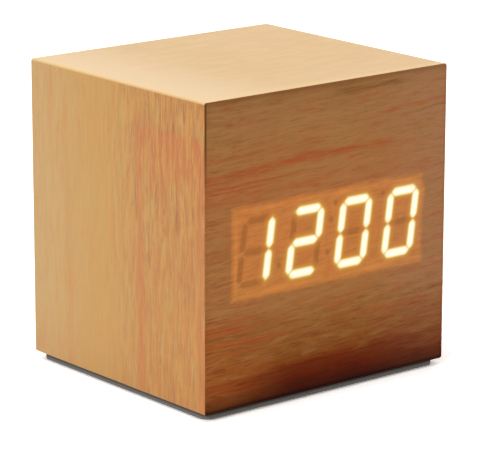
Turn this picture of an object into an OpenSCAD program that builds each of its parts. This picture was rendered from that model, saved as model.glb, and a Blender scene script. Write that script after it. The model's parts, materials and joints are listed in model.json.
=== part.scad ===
// Small alarm clock in a body of wood-grain board, with a lit display behind its front veneer.
// Millimetres. Z is up, the display faces -Y, and the origin is on the table under the body's middle.

/* [Case] */
// Width of the wooden body, left to right
case_w = 63; // [62:0.5:72]
// Depth of the wooden body, front to back
case_d = 57; // [56:0.5:70]
// Height of the wooden body, without the pad under it
case_h = 62.5; // [61:0.5:72]
// Thickness of the top and base panels; the other panels fill what the room inside leaves
panel_t = 4; // [3:0.25:4.5]
// Thickness of the wood-grain veneer
veneer_t = 0.4; // [0.2:0.05:0.6]
// Radius of the body's four long edges
edge_r = 0.5; // [0.2:0.1:0.6]
// How far the front and rear veneers sit inside the ends of the wrapped veneer
face_set = 0.1; // [0.05:0.05:0.3]
// Seam round the front and rear veneers
seam_gap = 0.1; // [0.05:0.05:0.25]
// Thickness of the foam pad that the clock stands on
pad_t = 1.5; // [1:0.1:3]
// How far the pad is set in from the body's four sides
pad_inset = 1; // [0.5:0.1:4]
// Corner radius of the pad and of its cut-out
pad_r = 2; // [0.5:0.5:3]
// Gap round the battery compartment in the pad
pad_margin = 1; // [0.5:0.25:2]

/* [Time shown] */
// Hour on the display
hour = 12; // [10:1:23]
// Minute on the display
minute = 0; // [0:1:59]

/* [Display] */
// How far the display sits to the right of the face's middle
display_x = 0.4; // [-0.6:0.1:0.6]
// Width of the display module
module_w = 50.3; // [50:0.1:51]
// Height of the display module
module_h = 19; // [18:0.1:20]
// Depth of the module with its own board
module_depth = 8; // [7:0.1:9]
// Gap round the module in the front panel
module_gap = 0.15; // [0.1:0.05:0.4]
// Thickness of the module's moulded face and of its outer walls
housing_wall = 1; // [0.7:0.1:1.2]
// Wall round each light tunnel
tunnel_wall = 0.5; // [0.4:0.1:0.7]
// Thickness of the board that closes the module
led_board_t = 1.4; // [1:0.1:1.6]
// Distance from one digit to the next
digit_pitch = 12.7; // [12.3:0.1:12.8]
// Distance between a digit's left and right segments
segment_span = 6.85; // [6.4:0.05:7]
// Distance from a digit's top segment to its middle one
segment_rise = 6.33; // [6:0.01:6.6]
// Width of a segment
segment_w = 1.45; // [1.2:0.05:1.7]
// Distance from a segment's point to the corner that it points at
segment_gap = 0.35; // [0.2:0.05:0.6]
// Lean of the digits to the right, in degrees
slant = 8; // [0:1:12]
// Diameter of the indicator dots
dot_d = 1.2; // [0.8:0.1:1.5]
// Half the distance between the colon's two dots
colon_rise = 3.3; // [2.5:0.1:4]
// Gap round a light guide in its window and its tunnel
guide_gap = 0.03; // [0.02:0.01:0.06]
// Size of a light-emitting chip
led_size = 0.6; // [0.4:0.1:0.9]
// Height of a light-emitting chip
led_h = 0.35; // [0.2:0.05:0.6]
// Number of pins in each of the module's two rows
pin_count = 6; // [4:1:8]
// Distance from one pin to the next
pin_pitch = 2.54; // [2:0.01:2.6]
// Distance between the two rows of pins
pin_row_span = 15.24; // [14.5:0.01:15.5]
// Width of a square pin
pin_w = 0.5; // [0.4:0.05:0.6]
// How far the pins stand out behind the main board
pin_end = 1.4; // [0.8:0.1:2]

/* [Boards and screws] */
// Thickness of the main board and of the button board
board_t = 1.6; // [1.2:0.1:2]
// Width of the main board
board_w = 52; // [51:0.5:53]
// Height of the main board
board_h = 40; // [38:0.5:41]
// How far the main board's middle is above the display's middle
board_up = 3.5; // [3.2:0.1:4]
// Distance from the main board's edges to its screws
board_screw_inset = 4; // [3:0.25:4.5]
// Diameter of the screws' shanks
screw_d = 1.9; // [1.7:0.1:2]
// Diameter of the screws' heads
head_d = 3.8; // [3.4:0.1:4]
// Height of the screws' heads
head_h = 1.3; // [1:0.1:1.6]
// Radial gap between a screw and the wood that it bites in
bite_gap = 0.05; // [0.02:0.01:0.1]
// Radial gap between a screw and the board, post or flange that it passes
pass_gap = 0.2; // [0.1:0.05:0.3]
// Wood left unbitten at the end of a screw
screw_end = 0.8; // [0.7:0.1:1.2]
// Diameter of the spacers under the main board
spacer_d = 5; // [4.6:0.1:5.6]
// Length of the controller chip
chip_l = 17.9; // [16:0.1:18.5]
// Width of the controller chip's body
chip_w = 7.5; // [7:0.1:7.8]
// Height of the controller chip
chip_h = 2.3; // [2:0.1:2.6]
// Legs on each side of the chip
chip_leg_count = 14; // [10:1:14]
// Distance from one leg to the next
chip_leg_pitch = 1.27; // [1.2:0.01:1.27]
// Length of a digit driver's body
driver_l = 2.9; // [2.7:0.1:3]
// Width of a digit driver's body
driver_w = 1.4; // [1.2:0.1:1.5]
// Height of a digit driver's body
driver_h = 1; // [0.9:0.1:1.2]
// Distance from one digit driver to the next
driver_pitch = 5.5; // [5:0.25:5.75]
// How far the row of digit drivers is below the module's lower pins
drivers_under = 4.1; // [3.6:0.1:4.3]
// How far the battery lead socket is below the display's middle
socket_under = 11.7; // [11:0.1:11.9]
// How far the temperature sensor is below the display's middle
thermistor_under = 12.6; // [12:0.1:13]
// How far the ribbon's lower end is below the display's middle
ribbon_under = 7.75; // [7:0.25:8.5]
// Length of a chip resistor
resistor_l = 2; // [1.6:0.1:2.2]
// Width of a chip resistor
resistor_w = 1.25; // [0.8:0.05:1.4]
// Height of a chip resistor
resistor_h = 0.5; // [0.4:0.05:0.7]
// Distance from one chip resistor to the next
resistor_pitch = 2.5; // [2:0.1:2.6]
// Diameter of the buzzer
buzzer_d = 12; // [10:0.5:12.5]
// Height of the buzzer
buzzer_h = 9.5; // [6:0.5:10]
// Diameter of the capacitors
capacitor_d = 5; // [4:0.5:6]
// Height of the capacitors
capacitor_h = 7; // [5:0.5:11]

/* [Rear controls] */
// Height of the controls above the bottom of the wooden body
controls_up = 34.5; // [30:0.5:36]
// Width of the bezel in the rear panel
bezel_w = 46; // [45.5:0.5:47]
// Height of the bezel in the rear panel
bezel_h = 14; // [13:0.5:15]
// Corner radius of the bezel
bezel_r = 3; // [1:0.5:5]
// Wall of the bezel and its floor
bezel_t = 1.2; // [1:0.1:1.5]
// Thickness of the bezel's flange
flange_t = 1; // [0.8:0.1:1.2]
// Gap between the bezel and the rear panel
bezel_gap = 0.15; // [0.1:0.05:0.3]
// How far the bezel's rim lies below the rear veneer
rim_set = 0.1; // [0.05:0.05:0.5]
// Depth of the bezel's recess
recess = 1.5; // [1.2:0.1:2]
// How far the flange reaches past the bezel, up and down
flange_reach = 4.3; // [4.1:0.1:5]
// How far the flange reaches past the bezel, to each side
flange_side = 2; // [1.5:0.1:2]
// How far a post is from the bezel's corner, both ways
post_set = 2; // [1.8:0.1:2.2]
// How far the button board reaches past the bezel, up and down
button_board_over = 4; // [3.9:0.1:4.3]
// How far the button board reaches past the bezel, to each side
button_board_side = 0.5; // [0.3:0.1:1]
// Diameter of the posts between the bezel and the button board
post_d = 4.4; // [4:0.1:4.6]
// Diameter of the push buttons
button_d = 6; // [5:0.25:6.5]
// Gap round a push button
button_gap = 0.2; // [0.1:0.05:0.4]
// How far a push button stands up from the floor of the recess
button_stand = 1.1; // [0.6:0.1:1.2]
// How much wider a push button's collar is, each side
collar_reach = 0.9; // [0.5:0.1:1.1]
// Thickness of the collar
collar_t = 0.8; // [0.6:0.1:1]
// Gap between the collar and the bezel
collar_gap = 0.3; // [0.1:0.05:0.5]
// Distance from one push button to the next
button_pitch = 9; // [8.8:0.1:9.4]
// Where the first push button is, right of the middle seen from the front
button_x = 16.3; // [16:0.1:17]
// Side of a switch's square body
switch_w = 6; // [5:0.25:6.2]
// Height of a switch's body
switch_h = 3.5; // [3:0.1:4]
// Width of a switch's leg
switch_leg_w = 0.6; // [0.5:0.05:0.7]
// Thickness of a switch's leg
switch_leg_t = 0.3; // [0.2:0.05:0.4]
// How far the legs stand out behind the button board
switch_leg_end = 1; // [0.8:0.1:1.4]
// Distance from a switch's side to its legs' middle
switch_leg_set = 0.75; // [0.6:0.05:1]
// Diameter of a switch's plunger
plunger_d = 3.5; // [3:0.1:4]
// How far a plunger stands above its switch
plunger_stand = 1.5; // [1:0.1:2]
// Travel of the push buttons
switch_travel = 0.3; // [0.2:0.05:0.5]
// Where the power jack is, right of the middle seen from the front
jack_x = -15.5; // [-17:0.1:-14]
// Diameter of the jack's nose
jack_d = 6.2; // [5.6:0.1:6.6]
// Diameter of the jack's socket
socket_d = 3.6; // [3.5:0.05:3.8]
// Depth of the jack's socket
socket_depth = 6.3; // [5:0.1:6.5]
// Diameter of the jack's centre pin
jack_pin_d = 1.3; // [1.1:0.05:1.4]
// Diameter of the microphone capsule
mic_d = 4; // [3.5:0.1:4.2]

/* [Battery compartment] */
// Diameter of a battery cell
cell_d = 10.5; // [10:0.1:10.8]
// Length of a battery cell with its positive nub
cell_l = 44.5; // [43.5:0.1:45]
// Distance from one cell to the next
cell_pitch = 11.3; // [11:0.1:11.5]
// Gap over the cells and in their cradles
cell_gap = 0.2; // [0.1:0.05:0.4]
// Gap between the outer cells and the walls
cell_side = 0.4; // [0.25:0.05:0.6]
// Gap between the door and the cells
cell_lift = 0.4; // [0.3:0.05:0.8]
// Wall of the compartment
tray_wall = 1.2; // [1:0.1:1.4]
// Gap between the compartment and the side panels
room_gap_x = 1.7; // [1:0.1:2.2]
// Gap between the compartment's ears and the front and rear panels
room_gap_y = 1.65; // [1:0.05:2.2]
// How far the ears reach out for their screws
tray_ear = 4.2; // [4:0.1:4.6]
// How far the compartment's screws are from its middle, to each side
tray_screw_x = 18; // [14:0.5:20]
// Distance from one cradle rib to the next
tray_rib_pitch = 14; // [12:0.5:16]
// Thickness of a cradle rib
tray_rib_t = 1.6; // [1.2:0.1:2]
// Gap between the compartment and the base panel
tray_gap = 0.2; // [0.1:0.05:0.4]
// How far the compartment's rim lies above the underside
tray_set = 0.1; // [0.05:0.05:0.3]
// Length of a contact spring
spring_l = 3.3; // [2.8:0.1:3.6]
// Wire of a contact spring
spring_wire = 0.5; // [0.4:0.05:0.6]
// Coils of a contact spring
spring_turns = 3; // [2:0.5:3]
// Thickness of the contact plates
contact_t = 0.3; // [0.2:0.05:0.4]
// Thickness of the battery door
door_t = 1.4; // [1.2:0.1:1.8]
// Gap round the battery door
door_gap = 0.25; // [0.2:0.05:0.4]
// Length of the door's stiffening ribs
door_rib_l = 36; // [30:1:40]
// Radius of the door's hinge barrel
barrel_r = 1.1; // [1:0.05:1.2]
// How much shorter the hinge barrel is than the door, at each end
barrel_set = 1; // [0.5:0.1:2]
// Diameter of the hinge pins
hinge_pin_d = 1.2; // [1:0.1:1.3]
// Radial gap round the hinge pins
pin_gap = 0.05; // [0.02:0.01:0.1]
// Width of the latch tongue
tongue_w = 9; // [7:0.5:12]
// Length of the slits beside the tongue
tongue_l = 9; // [7:0.5:12]
// How far the latch hook reaches into its slot
hook_reach = 0.5; // [0.3:0.05:0.7]
// Diameter of a wire
wire_d = 1.1; // [0.9:0.1:1.2]
// Wires in the ribbon between the boards
ribbon_count = 5; // [3:1:6]

/* [Hidden] */
$fn = 64;
// A cut runs this far past the face that it opens
past = 1;

// Planes of the case, from outside to inside
body_z0 = pad_t;
body_z1 = body_z0 + case_h;
face_z = body_z0 + case_h / 2;
core_w = case_w - 2 * veneer_t;
core_h = case_h - 2 * veneer_t;
core_z0 = body_z0 + veneer_t;
core_z1 = body_z1 - veneer_t;
room_z0 = core_z0 + panel_t;
front_y = face_set - case_d / 2;
front_core_y = front_y + veneer_t;
rear_y = -front_y;
rear_core_y = -front_core_y;

// Display: a digit's segments as [name, steps right, steps up, lies flat]
SEGMENTS = [
    ["a", 0, 1, true], ["b", 0.5, 0.5, false], ["c", 0.5, -0.5, false], ["d", 0, -1, true],
    ["e", -0.5, -0.5, false], ["f", -0.5, 0.5, false], ["g", 0, 0, true]
];
// Segments that are lit for each numeral
NUMERALS = ["abcdef", "bc", "abdeg", "abcdg", "bcfg", "acdfg", "acdefg", "abc", "abcdefg", "abcdfg"];
shown = [floor(hour / 10), hour % 10, floor(minute / 10), minute % 10];
// Indicator dots besides the colon, measured from the display's middle
extra_dots = [[-13.1, -3.8], [1.6, 6.6], [14.3, 6.6]];
lean = tan(slant);
dots = concat([for (s = [-1, 1]) [s * colon_rise * lean, s * colon_rise]], extra_dots);
housing_y1 = front_core_y + module_depth - led_board_t;
board_y0 = front_core_y + module_depth;
board_y1 = board_y0 + board_t;

// Battery compartment
tray_l_in = cell_l + spring_l + 2 * contact_t;
tray_w_in = 2 * cell_pitch + cell_d + 2 * cell_side;
tray_l = tray_l_in + 2 * tray_wall;
tray_w = tray_w_in + 2 * tray_wall;
tray_r = 1;
tray_z0 = body_z0 + tray_set;
cell_z = tray_z0 + door_t + cell_lift + cell_d / 2;
tray_roof_z = cell_z + cell_d / 2 + cell_gap;
tray_z1 = tray_roof_z + tray_wall;
cell_rows = [-1, 0, 1];
plate_x = tray_l_in / 2 - contact_t;
cell_nub_l = 0.8;
cell_nub_d = 3.8;
tray_screws_at = [for (sx = [-1, 1], sy = [-1, 1]) [sx * tray_screw_x, sy * (tray_w / 2 + tray_ear / 2)]];
tab_w = 2.5;
tab_up = 2.2;
// The room inside is as large as the compartment needs
room_x = tray_l / 2 + room_gap_x;
room_y1 = tray_w / 2 + tray_ear + room_gap_y;
room_y0 = -room_y1;
side_t = core_w / 2 - room_x;
// Door and hinge
door_l = tray_l_in - 2 * door_gap;
door_y0 = door_gap - tray_w_in / 2;
hinge_y = tray_w_in / 2 - door_gap - barrel_r;
hinge_z = tray_z0 + barrel_r + 0.1;
hook_z = tray_z0 + 0.8;
hook_h = 0.6;
slit_w = 0.7;

// Main board
board_z0 = face_z + board_up - board_h / 2;
board_z1 = board_z0 + board_h;
spacer_gap = 0.2;
board_screws_z0 = face_z - module_h / 2 - spacer_gap - spacer_d / 2;
board_screws_at = [
    for (sx = [-1, 1], z = [board_screws_z0, board_z1 - board_screw_inset])
        [sx * (board_w / 2 - board_screw_inset), z]
];

// Rear controls
controls_z = body_z0 + controls_up;
rim_y = rear_y - rim_set;
floor_y1 = rim_y - recess;
floor_y0 = floor_y1 - bezel_t;
flange_y0 = room_y1 - flange_t;
collar_y1 = floor_y0 - collar_gap;
collar_y0 = collar_y1 - collar_t;
switch_y1 = collar_y0 - plunger_stand;
switch_y0 = switch_y1 - switch_h;
button_board_y0 = switch_y0 - board_t;
flange_w = bezel_w + 2 * flange_side;
flange_h = bezel_h + 2 * flange_reach;
posts_at = [
    for (sx = [-1, 1], sz = [-1, 1])
        [sx * (bezel_w / 2 - post_set), controls_z + sz * (bezel_h / 2 + post_set)]
];
button_xs = [for (i = [0 : 2]) button_x - i * button_pitch];
jack_base = jack_d + 0.4;
mic_x = (button_xs[2] - button_d / 2 - collar_reach + jack_x + jack_base / 2) / 2;
plunger_in = 1.1;
ribbon_x = jack_x - 0.5;
ribbon_pitch = wire_d + 0.1;

// Places on the rear of the main board
buzzer_at = [17, board_z1 - 12];
capacitors_at = [[-20, board_z1 - 13], [-13.5, board_z1 - 11]];
resistors_z = board_z1 - 4;
drivers_x = -13;
drivers_z = face_z - pin_row_span / 2 - drivers_under;
socket_at = [13.5, face_z - socket_under];
socket_size = [6, 4.6, 5];
thermistor_at = [-17, face_z - thermistor_under];

// A flat outline in X and Z becomes a board that stands from y0 to y1
module upright(y0, y1) {
    translate([0, y1, 0]) rotate([90, 0, 0]) linear_extrude(y1 - y0) children();
}

// A flat outline in X and Y becomes a slab from z0 to z1
module slab(z0, z1) {
    translate([0, 0, z0]) linear_extrude(z1 - z0) children();
}

module rounded_rect(w, h, r) {
    square([w - 2 * r, h], center = true);
    square([w, h - 2 * r], center = true);
    for (sx = [-1, 1], sy = [-1, 1]) translate([sx * (w / 2 - r), sy * (h / 2 - r)]) circle(r);
}

// A rod along Y from y0 to y1
module rod_y(x, z, d, y0, y1) {
    translate([x, y1, z]) rotate([90, 0, 0]) cylinder(d = d, h = y1 - y0);
}

// A rod along X from x0 to x1
module rod_x(y, z, d, x0, x1) {
    translate([x0, y, z]) rotate([0, 90, 0]) cylinder(d = d, h = x1 - x0);
}

// A box given by its two corners
module box(low, high) {
    translate(low) cube(high - low);
}

// Round wires that follow a list of points, as one closed tube
function unit(v) = v / norm(v);
function tangent(p, i) = unit(p[min(i + 1, len(p) - 1)] - p[max(i - 1, 0)]);
function first_side(t) = unit(cross(t, abs(t.z) < 0.9 ? [0, 0, 1] : [1, 0, 0]));
function side(p, i) =
    i == 0 ? first_side(tangent(p, 0)) :
    let (t = tangent(p, i), s = side(p, i - 1)) unit(s - t * (s * t));
function ring(p, i, r, n) =
    let (t = tangent(p, i), s = side(p, i), u = cross(t, s))
    [for (k = [0 : n - 1]) p[i] + r * (cos(360 * k / n) * s + sin(360 * k / n) * u)];

module wire_tube(p, d, n) {
    rings = len(p);
    points = [for (i = [0 : rings - 1]) each ring(p, i, d / 2, n)];
    walls = [
        for (i = [0 : rings - 2], k = [0 : n - 1])
            let (a = i * n + k, b = i * n + (k + 1) % n)
            each [[a, b, b + n], [a, b + n, a + n]]
    ];
    start_cap = [for (k = [1 : n - 2]) [0, k + 1, k]];
    last = (rings - 1) * n;
    end_cap = [for (k = [1 : n - 2]) [last, last + k, last + k + 1]];
    polyhedron(points, concat([for (f = concat(walls, start_cap, end_cap)) [f[2], f[1], f[0]]]), convexity = 6);
}

// A smooth route between four hand-placed stops, with a short straight end on each side
wire_stub = 0.8;
function bezier(q, t) =
    pow(1 - t, 3) * q[0] + 3 * pow(1 - t, 2) * t * q[1] + 3 * (1 - t) * t * t * q[2] + pow(t, 3) * q[3];
function route(stops, steps) =
    let (lead_in = wire_stub * unit(stops[1] - stops[0]), lead_out = wire_stub * unit(stops[3] - stops[2]))
    let (q = [stops[0] + lead_in, stops[1], stops[2], stops[3] - lead_out])
    concat([stops[0]], [for (i = [0 : steps]) bezier(q, i / steps)], [stops[3]]);

// A case panel's section, mitred where the sleeve folds: its outer width, inner width and thickness
module mitred_board(w, w_in, t) {
    polygon([[-w / 2, 0], [w / 2, 0], [w_in / 2, t], [-w_in / 2, t]]);
}

module tray_hole(grow) {
    rounded_rect(tray_l + 2 * grow, tray_w + 2 * grow, tray_r + grow);
}

module top_panel() {
    color("burlywood")
        upright(room_y0, room_y1) translate([0, core_z1]) mirror([0, 1]) mitred_board(core_w, 2 * room_x, panel_t);
}

module base_panel() {
    color("burlywood") difference() {
        upright(room_y0, room_y1) translate([0, core_z0]) mitred_board(core_w, 2 * room_x, panel_t);
        slab(core_z0 - past, room_z0 + past) tray_hole(tray_gap);
        for (at = tray_screws_at)
            translate([at.x, at.y, core_z0 + screw_end - 0.2])
                cylinder(d = screw_d + 2 * bite_gap, h = panel_t);
    }
}

module side_panel() {
    upright(room_y0, room_y1)
        translate([-core_w / 2, face_z]) rotate(-90) mitred_board(core_h, core_h - 2 * panel_t, side_t);
}

module left_panel() {
    color("burlywood") side_panel();
}

module right_panel() {
    color("burlywood") mirror([1, 0, 0]) side_panel();
}

module front_panel() {
    color("burlywood") difference() {
        upright(front_core_y, room_y0) translate([0, face_z]) difference() {
            square([core_w, core_h], center = true);
            translate([display_x, 0])
                square([module_w + 2 * module_gap, module_h + 2 * module_gap], center = true);
        }
        for (at = board_screws_at)
            rod_y(at.x, at.y, screw_d + 2 * bite_gap, front_core_y + screw_end - 0.2, room_y0 + past);
    }
}

module bezel_hole(grow) {
    translate([0, controls_z]) rounded_rect(bezel_w + 2 * grow, bezel_h + 2 * grow, bezel_r + grow);
}

module rear_panel() {
    color("burlywood") difference() {
        upright(room_y1, rear_core_y) difference() {
            translate([0, face_z]) square([core_w, core_h], center = true);
            bezel_hole(bezel_gap);
        }
        for (at = posts_at)
            rod_y(at.x, at.y, screw_d + 2 * bite_gap, room_y1 - past, rear_core_y - screw_end + 0.2);
    }
}

// Veneers
module sleeve_veneer() {
    color("sandybrown") difference() {
        upright(-case_d / 2, case_d / 2) translate([0, face_z]) difference() {
            rounded_rect(case_w, case_h, edge_r);
            square([core_w, core_h], center = true);
        }
        slab(body_z0 - past, core_z0 + past) tray_hole(tray_gap);
    }
}

module face_outline() {
    translate([0, face_z]) square([core_w - 2 * seam_gap, core_h - 2 * seam_gap], center = true);
}

module front_veneer() {
    color("sienna") upright(front_y, front_core_y) difference() {
        face_outline();
        for (k = [0 : 3], s = SEGMENTS) segment(k, s, guide_gap);
        indicator_outlines(guide_gap);
    }
}

module rear_veneer() {
    color("sienna") upright(rear_core_y, rear_y) difference() {
        face_outline();
        bezel_hole(bezel_gap);
    }
}

module base_pad() {
    color("dimgray") slab(0, body_z0) difference() {
        rounded_rect(case_w - 2 * pad_inset, case_d - 2 * pad_inset, pad_r);
        tray_hole(pad_margin);
    }
}

// Display
function digit_x(k) = display_x + (k - 1.5) * digit_pitch;
function is_lit(k, s) = len(search(s[0], NUMERALS[shown[k]])) > 0;

// Middle of a segment, from the middle of the face
function segment_middle(k, s) =
    [digit_x(k) + s[1] * segment_span + s[2] * segment_rise * lean, s[2] * segment_rise];

// An outline drawn about a digit's middle, leaning with the digit
module leaning(k, corners) {
    translate([digit_x(k), face_z]) polygon([for (c = corners) [c.x + c.y * lean, c.y]]);
}

// A segment's hexagon, grown by a gap
module segment(k, s, grow) {
    flat = s[3];
    half_w = segment_w / 2 + grow;
    half_l = (flat ? segment_span : segment_rise) / 2 - segment_gap + grow * sqrt(2);
    middle = [s[1] * segment_span, s[2] * segment_rise];
    corners = [
        [-half_l, 0], [half_w - half_l, half_w], [half_l - half_w, half_w],
        [half_l, 0], [half_l - half_w, -half_w], [half_w - half_l, -half_w]
    ];
    leaning(k, [for (c = corners) middle + (flat ? c : [c.y, c.x])]);
}

// The moulded figure of eight that a digit's tunnels run through
module digit_block(k) {
    edge = segment_w / 2 + tunnel_wall;
    w = segment_span / 2 + edge;
    h = segment_rise + edge;
    difference() {
        leaning(k, [[-w, -h], [w, -h], [w, h], [-w, h]]);
        for (z = [edge, edge - segment_rise])
            leaning(k, [
                [edge - segment_span / 2, z], [segment_span / 2 - edge, z],
                [segment_span / 2 - edge, z + segment_rise - 2 * edge],
                [edge - segment_span / 2, z + segment_rise - 2 * edge]
            ]);
    }
}

module indicator_outlines(grow) {
    for (at = dots) translate([display_x + at.x, face_z + at.y]) circle(d = dot_d + 2 * grow);
}

module module_outline(inset) {
    translate([display_x, face_z]) square([module_w - 2 * inset, module_h - 2 * inset], center = true);
}

module display_housing() {
    color("gainsboro") difference() {
        union() {
            difference() {
                upright(front_core_y, housing_y1) module_outline(0);
                upright(front_core_y + housing_wall, housing_y1 + past) module_outline(housing_wall);
            }
            upright(front_core_y, housing_y1) intersection() {
                module_outline(0);
                union() {
                    for (k = [0 : 3]) digit_block(k);
                    indicator_outlines(tunnel_wall);
                }
            }
        }
        upright(front_core_y - past, housing_y1 + past) {
            for (k = [0 : 3], s = SEGMENTS) segment(k, s, guide_gap);
            indicator_outlines(guide_gap);
        }
    }
}

// Light guides run from just above the chips, through the housing, to the face of the veneer
module light_guides(lit) {
    upright(front_y, housing_y1 - led_h - 0.1)
        for (k = [0 : 3], s = SEGMENTS) if (is_lit(k, s) == lit) segment(k, s, 0);
}

module lit_segments() {
    color("lemonchiffon") light_guides(true);
}

module unlit_segments() {
    color("peru") light_guides(false);
}

module indicator_dots() {
    color("saddlebrown") upright(front_y, housing_y1 - led_h - 0.1) indicator_outlines(0);
}

module segment_leds() {
    middles = concat([for (k = [0 : 3], s = SEGMENTS) segment_middle(k, s)], [for (d = dots) d + [display_x, 0]]);
    color("khaki") for (at = middles)
        translate([at.x, housing_y1 - led_h / 2, face_z + at.y]) cube([led_size, led_h, led_size], center = true);
}

pins_at = [
    for (i = [0 : pin_count - 1], sz = [-1, 1])
        [display_x + (i - (pin_count - 1) / 2) * pin_pitch, face_z + sz * pin_row_span / 2]
];
pin_hole_d = pin_w * sqrt(2) + 0.15;

module display_board() {
    color("seagreen") difference() {
        upright(housing_y1, board_y0) module_outline(0);
        for (at = pins_at) rod_y(at.x, at.y, pin_hole_d, housing_y1 - past, board_y0 + past);
    }
}

module display_pins() {
    color("silver") for (at = pins_at)
        box([at.x - pin_w / 2, housing_y1, at.y - pin_w / 2], [at.x + pin_w / 2, board_y1 + pin_end, at.y + pin_w / 2]);
}

// Main board and what it carries
module main_board() {
    color("green") difference() {
        upright(board_y0, board_y1)
            translate([0, (board_z0 + board_z1) / 2]) rounded_rect(board_w, board_h, 1);
        for (at = pins_at) rod_y(at.x, at.y, pin_hole_d, board_y0 - past, board_y1 + past);
        for (at = board_screws_at)
            rod_y(at.x, at.y, screw_d + 2 * pass_gap, board_y0 - past, board_y1 + past);
    }
}

module board_spacers() {
    color("ivory") for (at = board_screws_at) difference() {
        rod_y(at.x, at.y, spacer_d, room_y0, board_y0);
        rod_y(at.x, at.y, screw_d + 2 * pass_gap, room_y0 - past, board_y0 + past);
    }
}

// A pan-head screw along Z with its head's seat at z = 0 and a cross recess
module screw(l) {
    slot = [head_d * 0.6, head_d * 0.16, head_h];
    difference() {
        union() {
            translate([0, 0, -l]) cylinder(d = screw_d, h = l);
            rotate_extrude() intersection() {
                translate([0, head_h - head_d]) circle(head_d);
                square([head_d / 2, head_h]);
            }
        }
        for (a = [0, 90]) rotate(a) translate([0, 0, head_h]) cube([slot.x, slot.y, slot.z], center = true);
    }
}

module board_screws() {
    l = board_y1 - front_core_y - screw_end;
    color("silver") for (at = board_screws_at) translate([at.x, board_y1, at.y]) rotate([-90, 0, 0]) screw(l);
}

module controller_chip() {
    color("dimgray") difference() {
        box([-chip_l / 2, board_y1 + 0.2, face_z - chip_w / 2], [chip_l / 2, board_y1 + chip_h, face_z + chip_w / 2]);
        rod_y(-chip_l / 2 + 1.4, face_z - chip_w / 2 + 1.4, 1.2, board_y1 + chip_h - 0.2, board_y1 + chip_h + past);
    }
}

// One gull-wing leg of the chip, in profile from the body's side
module chip_leg() {
    reach = 1.35;
    t = 0.25;
    up = chip_h / 2;
    upright_at = 0.45;
    polygon([
        [0, up], [0, up + t], [upright_at + t, up + t], [upright_at + t, t], [reach, t], [reach, 0],
        [upright_at, 0], [upright_at, up]
    ]);
}

module chip_legs() {
    leg_w = 0.42;
    color("silver") for (i = [0 : chip_leg_count - 1], sz = [-1, 1])
        translate([(i - (chip_leg_count - 1) / 2) * chip_leg_pitch - leg_w / 2, board_y1, face_z])
            mirror([0, 0, sz > 0 ? 0 : 1]) translate([0, 0, chip_w / 2])
                multmatrix([[0, 0, 1, 0], [0, 1, 0, 0], [1, 0, 0, 0]]) linear_extrude(leg_w) chip_leg();
}

module digit_drivers() {
    lead = [0.4, 0.3, 0.8];
    color("darkslategray") for (i = [0 : 3])
        translate([drivers_x + i * driver_pitch, board_y1, drivers_z]) {
            translate([0, driver_h / 2, 0]) cube([driver_l, driver_h, driver_w], center = true);
            for (at = [[-0.95, -1], [0.95, -1], [0, 1]])
                translate([at.x, lead.y / 2, at.y * (driver_w / 2 + 0.3)]) cube(lead, center = true);
        }
}

module chip_resistors() {
    color("dimgray") for (i = [0 : 7])
        translate([(i - 3.5) * resistor_pitch, board_y1 + resistor_h / 2, resistors_z])
            cube([resistor_w, resistor_h, resistor_l], center = true);
}

module timing_crystal() {
    can_d = 2;
    can_l = 6;
    z = face_z + pin_row_span / 2 + 2.6;
    color("silver") {
        rod_x(board_y1 + can_d / 2, z, can_d, -3, can_l - 3);
        for (s = [-1, 1]) translate([-4.4, board_y1 + can_d / 2, z + s * 0.5]) cube([3, 0.3, 0.3], center = true);
    }
}

// A capacitor's can with its rolled groove and crossed vent, standing off the board along Y
module capacitor_can() {
    r = capacitor_d / 2;
    groove = 0.35;
    difference() {
        rotate_extrude() difference() {
            square([r, capacitor_h]);
            translate([r + 0.1, 1.6]) circle(groove);
        }
        for (a = [0, 90]) rotate(a) translate([0, 0, capacitor_h]) cube([capacitor_d * 0.7, 0.25, 0.3], center = true);
    }
}

module capacitors() {
    color("lightgray") for (at = capacitors_at)
        translate([at.x, board_y1, at.y]) rotate([-90, 0, 0]) capacitor_can();
}

module buzzer() {
    wall = 1;
    hole_d = 2.6;
    color("dimgray") translate([buzzer_at.x, board_y1, buzzer_at.y]) rotate([-90, 0, 0]) difference() {
        cylinder(d = buzzer_d, h = buzzer_h);
        translate([0, 0, buzzer_h - wall]) cylinder(d = hole_d, h = wall + past);
        translate([0, 0, wall]) cylinder(d = buzzer_d - 2 * wall, h = buzzer_h - 2 * wall);
    }
}

module thermistor() {
    bead_d = 2.2;
    lead_l = 7;
    lead_d = 0.4;
    color("darkslategray") {
        translate([thermistor_at.x, board_y1 + lead_l, thermistor_at.y]) sphere(d = bead_d);
        for (s = [-1, 1]) rod_y(thermistor_at.x + s * 0.5, thermistor_at.y, lead_d, board_y1, board_y1 + lead_l);
    }
}

module battery_socket() {
    wall = 0.7;
    color("ivory") translate([socket_at.x, board_y1 + socket_size.y / 2, socket_at.y]) difference() {
        cube(socket_size, center = true);
        translate([0, wall, 0]) cube(socket_size - [2 * wall, 0, 2 * wall], center = true);
    }
}

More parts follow.
